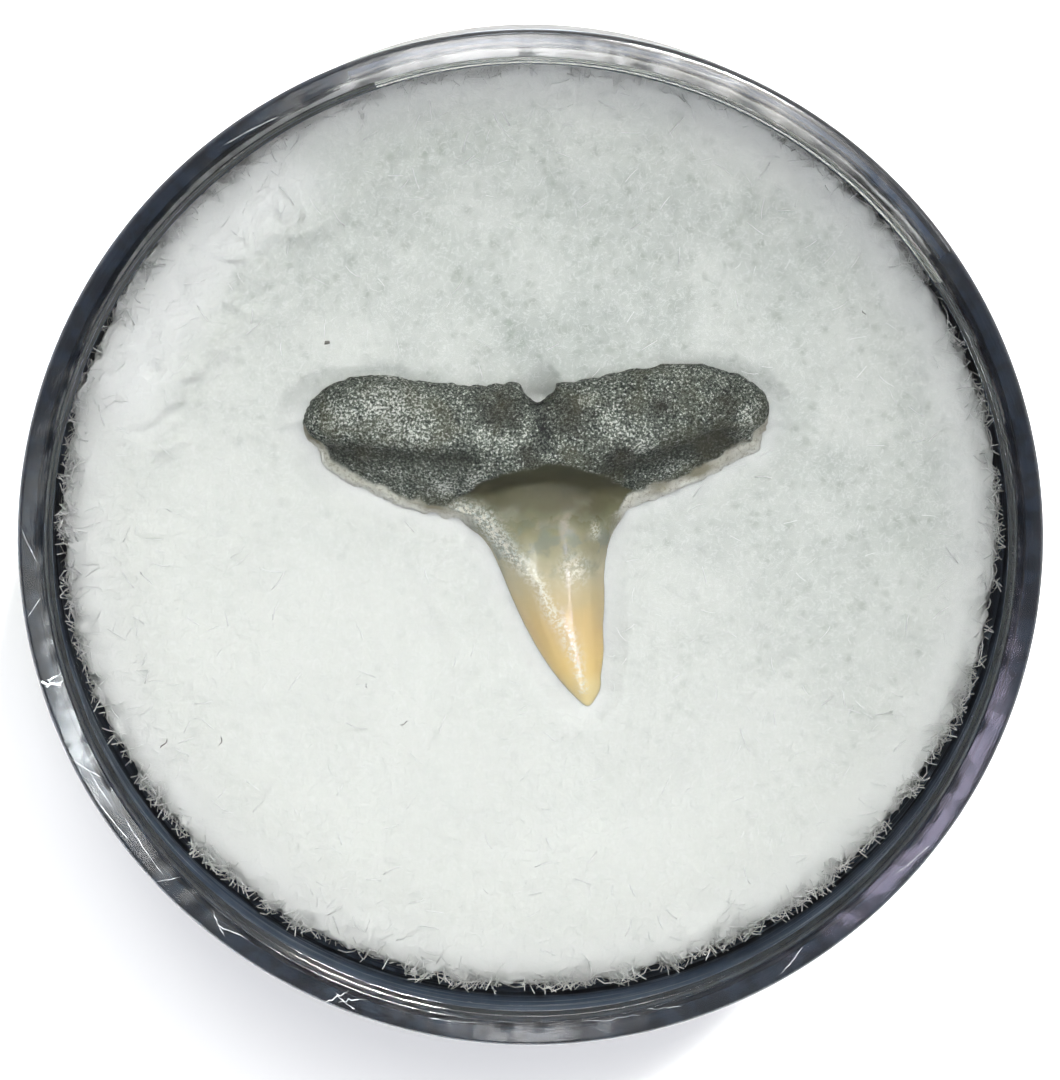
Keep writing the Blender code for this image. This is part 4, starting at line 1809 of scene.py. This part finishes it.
@dataclass
class RimScratches:
    """Scuffs and hairlines on the top of the rim, in degrees and millimetres."""

    sizes: CaseSizes
    scratches: tuple[Scratch, ...] = (
        Scratch((195.6, 0.10), (196.4, 0.92), 0.075, 0.12),
        Scratch((196.2, 0.25), (195.2, 0.75), 0.05, 0.10, 7),
        Scratch((205.0, 0.15), (208.5, 0.85), 0.018, 0.01),
        Scratch((207.0, 0.55), (212.0, 0.60), 0.015, 0.01),
        Scratch((210.0, 0.25), (216.5, 0.40), 0.015, 0.02),
        Scratch((214.0, 0.75), (222.0, 0.55), 0.018, 0.02),
        Scratch((222.0, 0.15), (223.6, 0.95), 0.016, 0.01),
        Scratch((229.0, 0.85), (232.0, 0.35), 0.022, 0.03),
        Scratch((230.5, 0.50), (234.5, 0.80), 0.022, 0.04),
        Scratch((246.0, 0.10), (248.0, 0.90), 0.030, 0.05),
        Scratch((246.5, 0.60), (249.5, 0.25), 0.026, 0.05),
        Scratch((247.3, 0.35), (250.2, 0.85), 0.024, 0.06),
        Scratch((258.0, 0.75), (264.0, 0.85), 0.018, 0.02),
        Scratch((276.0, 0.90), (283.0, 0.80), 0.028, 0.05),
        Scratch((284.0, 0.95), (288.0, 0.70), 0.022, 0.03),
        Scratch((300.0, 0.30), (304.0, 0.75), 0.016, 0.02),
        Scratch((318.0, 0.60), (323.0, 0.35), 0.014, 0.02),
        Scratch((178.0, 0.20), (182.0, 0.80), 0.014, 0.01),
        Scratch((186.0, 0.75), (188.0, 0.20), 0.016, 0.01),
        Scratch((65.0, 0.35), (71.0, 0.55), 0.014, 0.01),
        Scratch((120.0, 0.70), (127.0, 0.45), 0.014, 0.01),
    )

    def height(self, inset: float) -> float:
        """Height of the rim's surface at an inset from its outer edge.

        Args:
            inset: the inset, in millimetres.

        Returns:
            The height, in millimetres.
        """
        top = self.sizes.top / MM
        if inset < 0.2:
            return top - 0.05 - 0.2 * ((0.2 - inset) / 0.2) ** 2
        if inset > 0.82:
            return top - 0.05 - 0.5 * (inset - 0.82)
        return top - 0.05 * (abs(inset - 0.48) / 0.34)

    def path(self, scratch: Scratch, seed: int) -> list[Vector]:
        """Where a scratch runs.

        Args:
            scratch: the scratch.
            seed: seed of its jags.

        Returns:
            Its points, in metres.
        """
        random = np.random.default_rng(seed)
        points = []
        for share in np.linspace(0.0, 1.0, scratch.steps):
            bearing, inset = (a + share * (b - a) for a, b in zip(scratch.start, scratch.end))
            inset = min(max(inset + random.uniform(-1, 1) * scratch.jag, 0.08), 0.95)
            angle = math.radians(bearing + random.uniform(-1, 1) * scratch.jag * 3.0)
            reach = self.sizes.radius / MM - inset
            spot = (reach * math.cos(angle), reach * math.sin(angle), self.height(inset) - 0.004)
            points.append(Vector(spot) * MM)
        return points

    def build(self, finish: bpy.types.Material) -> bpy.types.Object:
        """Make and dress the scratches.

        Args:
            finish: the scuffs' material.

        Returns:
            The scratches.
        """
        shapes = [
            ribbon(self.path(scratch, 300 + number), scratch.width * MM, 500 + number)
            for number, scratch in enumerate(self.scratches)
        ]
        scuffs = joined("rim_scratches", shapes)
        rows = vertices_of(scuffs)
        rows[:, 2] = np.minimum(rows[:, 2], self.sizes.top)
        put_vertices(scuffs, rows)
        scuffs.data.materials.append(finish)
        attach(scuffs, BODY)
        return scuffs


@dataclass(frozen=True)
class Hair:
    """A dark hair or speck on the foam: its middle, length, heading and width, in millimetres."""

    x: float
    y: float
    length: float
    heading: float
    width: float


@dataclass
class PadLint:
    """The few dark hairs and specks caught on the foam."""

    hairs: tuple[Hair, ...] = (
        Hair(-7.72, 7.12, 0.22, 40.0, 0.12),
        Hair(-14.05, -8.25, 0.50, 62.0, 0.03),
        Hair(-11.90, -8.20, 0.42, 75.0, 0.03),
        Hair(-4.85, -7.55, 0.35, 20.0, 0.03),
        Hair(12.60, 8.30, 0.25, 120.0, 0.025),
        Hair(-6.30, -6.10, 0.20, 100.0, 0.03),
    )

    def build(self, pad: bpy.types.Object, finish: bpy.types.Material) -> bpy.types.Object:
        """Make and dress the lint.

        Args:
            pad: the pad that carries it.
            finish: the lint's material.

        Returns:
            The lint.
        """
        shapes = []
        for number, hair in enumerate(self.hairs):
            heading = math.radians(hair.heading)
            points = []
            for step in range(6):
                along = (step / 5 - 0.5) * hair.length
                aside = 0.12 * hair.length * math.sin(step * 1.1 + number)
                x = hair.x + along * math.cos(heading) - aside * math.sin(heading)
                y = hair.y + along * math.sin(heading) + aside * math.cos(heading)
                start = Vector((x * MM, y * MM, 20.0 * MM))
                hit, spot, _, _ = pad.ray_cast(start, -UP)
                points.append(spot + UP * 0.02 * MM if hit else start)
            shapes.append(ribbon(points, hair.width * MM, 700 + number))
        lint = joined("pad_lint", shapes)
        lint.data.materials.append(finish)
        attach(lint, BODY)
        return lint


@dataclass(frozen=True)
class SoftBox:
    """A studio light hung over the case and turned to it.

    It hangs at two leans from straight above, to the right and to the back, in degrees, at a
    distance in millimetres. Its width runs round the case and its height towards the zenith.
    """

    name: str
    lean: tuple[float, float]
    distance: float
    size: tuple[float, float]
    radiance: float
    colour: tuple[float, float, float] = (1.0, 1.0, 1.0)
    spread: float = 180.0
    aim: tuple[float, float] = (0.0, 0.0)

    def hang(self) -> None:
        """Add the light to the scene, with the power that gives its face this radiance."""
        width, height = (side * MM for side in self.size)
        data = bpy.data.lights.new(self.name, "AREA")
        data.shape = "RECTANGLE"
        data.size, data.size_y = width, height
        data.energy = self.radiance * math.pi * width * height
        data.color = self.colour
        data.spread = math.radians(self.spread)
        right, back = (math.tan(math.radians(angle)) for angle in self.lean)
        place = Vector((right, back, 1.0)).normalized() * self.distance * MM
        target = Vector((*self.aim, 0.0)) * MM
        lamp = bpy.data.objects.new(self.name, data)
        lamp.location = place
        lamp.rotation_euler = (target - place).to_track_quat("-Z", "Y").to_euler()
        bpy.context.scene.collection.objects.link(lamp)


@dataclass
class Studio:
    """Pale floor, soft lights and the camera at the photograph's angle."""

    tilt_degrees: float = 8.0
    distance: float = 150.0 * MM
    look_at: tuple[float, float] = (-0.0185 * MM, 0.2835 * MM)
    look_height: float = 18.0 * MM
    lens: float = 135.41
    sensor: float = 36.0
    floor_size: float = 3.0
    sky: tuple[float, float, float] = (0.97, 0.99, 1.0)
    sky_strength: float = 0.59
    zenith_share: float = 0.12
    zenith_cap: tuple[float, float] = (0.78, 0.965)
    side_share: float = 0.45
    bright_from: tuple[float, float, float] = (0.55, 0.83, 0.0)
    bounces: tuple[int, int, int] = (5, 1, 1)
    boxes: tuple[SoftBox, ...] = (
        SoftBox(
            "key_back_right",
            (14.0, 28.0),
            500.0,
            (110.0, 110.0),
            6.4,
            (1.0, 0.99, 0.96),
            20.0,
            (-30.0, -60.0),
        ),
        SoftBox("rim_lower_left", (-25.0, -19.0), 260.0, (18.0, 70.0), 29.0, (0.92, 0.97, 1.0)),
        SoftBox("overhead_back", (4.0, 25.0), 300.0, (200.0, 110.0), 3.6),
        SoftBox("rim_below_left", (-22.5, -23.5), 260.0, (30.0, 60.0), 5.0, (1.0, 1.0, 0.97)),
        SoftBox("rim_left", (-29.0, -10.0), 260.0, (64.0, 80.0), 2.0, (1.0, 1.0, 0.96)),
        SoftBox("rim_back", (-3.0, 20.0), 260.0, (46.0, 80.0), 14.0),
        SoftBox("rim_back_right", (11.0, 18.0), 260.0, (40.0, 70.0), 4.0, (1.0, 0.93, 0.8)),
        SoftBox("rim_right_front", (23.0, -22.5), 260.0, (64.0, 50.0), 8.5, (0.82, 0.74, 1.0)),
        SoftBox("rim_front", (0.0, -36.0), 260.0, (26.0, 60.0), 9.0, (1.0, 0.99, 1.0)),
    )

    def lay_floor(self) -> None:
        """The pale floor, which isn't part of the object."""
        half = self.floor_size / 2.0
        corners = [(-half, -half, 0.0), (half, -half, 0.0), (half, half, 0.0), (-half, half, 0.0)]
        floor = mesh_object("studio_floor", np.array(corners), [(0, 1, 2, 3)])
        floor.data.materials.append(FloorFinish().build())

    def room(self) -> bpy.types.World:
        """The even light of the room, dim straight above and brightest at the back right.

        Returns:
            The world.
        """
        world = bpy.data.worlds.new("studio_room")
        world.use_nodes = True
        sketch = NodeSketch(world.node_tree)
        background = world.node_tree.nodes["Background"]
        direction = sketch.add("ShaderNodeTexCoord").outputs["Generated"]
        height = sketch.add("ShaderNodeSeparateXYZ", {0: direction}).outputs[2]
        feeds = {0: direction, 1: self.bright_from}
        side = sketch.add("ShaderNodeVectorMath", feeds, operation="DOT_PRODUCT").outputs["Value"]
        limits = (-0.9, 0.9, 1.0 - self.side_share, 1.0 + self.side_share)
        side = sketch.add("ShaderNodeMapRange", dict(enumerate((side, *limits)))).outputs[0]
        rise = sketch.range(height, *self.zenith_cap, 1.0, self.zenith_share)
        sketch.feed(background.inputs["Color"], (*self.sky, 1.0))
        sketch.feed(
            background.inputs["Strength"], sketch.times(rise, side, self.sky_strength)
        )
        return world

    def set_camera(self) -> None:
        """The camera, nearly straight above and a little to the back of the case."""
        data = bpy.data.cameras.new("photo_camera")
        data.sensor_fit = "VERTICAL"
        data.sensor_height = self.sensor
        data.lens = self.lens
        data.clip_start = 1.0 * MM
        data.clip_end = 10.0
        camera = bpy.data.objects.new("photo_camera", data)
        tilt = math.radians(self.tilt_degrees)
        away = Vector((0.0, math.sin(tilt), math.cos(tilt)))
        right = Vector((1.0, 0.0, 0.0))
        turned = Matrix((right, away.cross(right), away)).transposed().to_4x4()
        target = Vector((*self.look_at, self.look_height))
        camera.matrix_world = Matrix.Translation(target + away * self.distance) @ turned
        bpy.context.scene.collection.objects.link(camera)
        bpy.context.scene.camera = camera

    def build(self) -> None:
        """Set up the whole studio."""
        scene = bpy.context.scene
        self.set_camera()
        self.lay_floor()
        for box in self.boxes:
            box.hang()
        scene.world = self.room()
        paths = scene.cycles
        paths.use_light_tree = False
        paths.max_bounces, paths.diffuse_bounces, paths.glossy_bounces = self.bounces
        scene.view_settings.view_transform = "Standard"
        scene.view_settings.look = "None"


def report(*pieces: bpy.types.Object) -> None:
    """Log the name and size of each piece."""
    for piece in pieces:
        piece.data.calc_loop_triangles()
        log.info("%s: %d triangles", piece.name, len(piece.data.loop_triangles))


def main() -> None:
    """Build the case, the pad, the tooth and the studio."""
    logging.basicConfig(level=logging.INFO, format="%(name)s %(message)s", force=True)
    sizes = CaseSizes.from_frame()
    Studio().build()
    maker = Tooth()
    report(maker.build(ToothFinish().build()))
    pad = FoamPad(sizes, maker.plan).build(FoamFinish().build())
    report(pad)
    report(*FoamStruts(sizes).build(pad, STRUT_FINISH.build()))
    report(PadLint().build(pad, LINT_FINISH.build()))
    report(BaseCup(sizes).build(BlackFinish().build()))
    report(Lid(sizes).build(ClearFinish()))
    report(RimScratches(sizes).build(SCUFF_FINISH.build()))


if __name__ == "__main__":
    main()
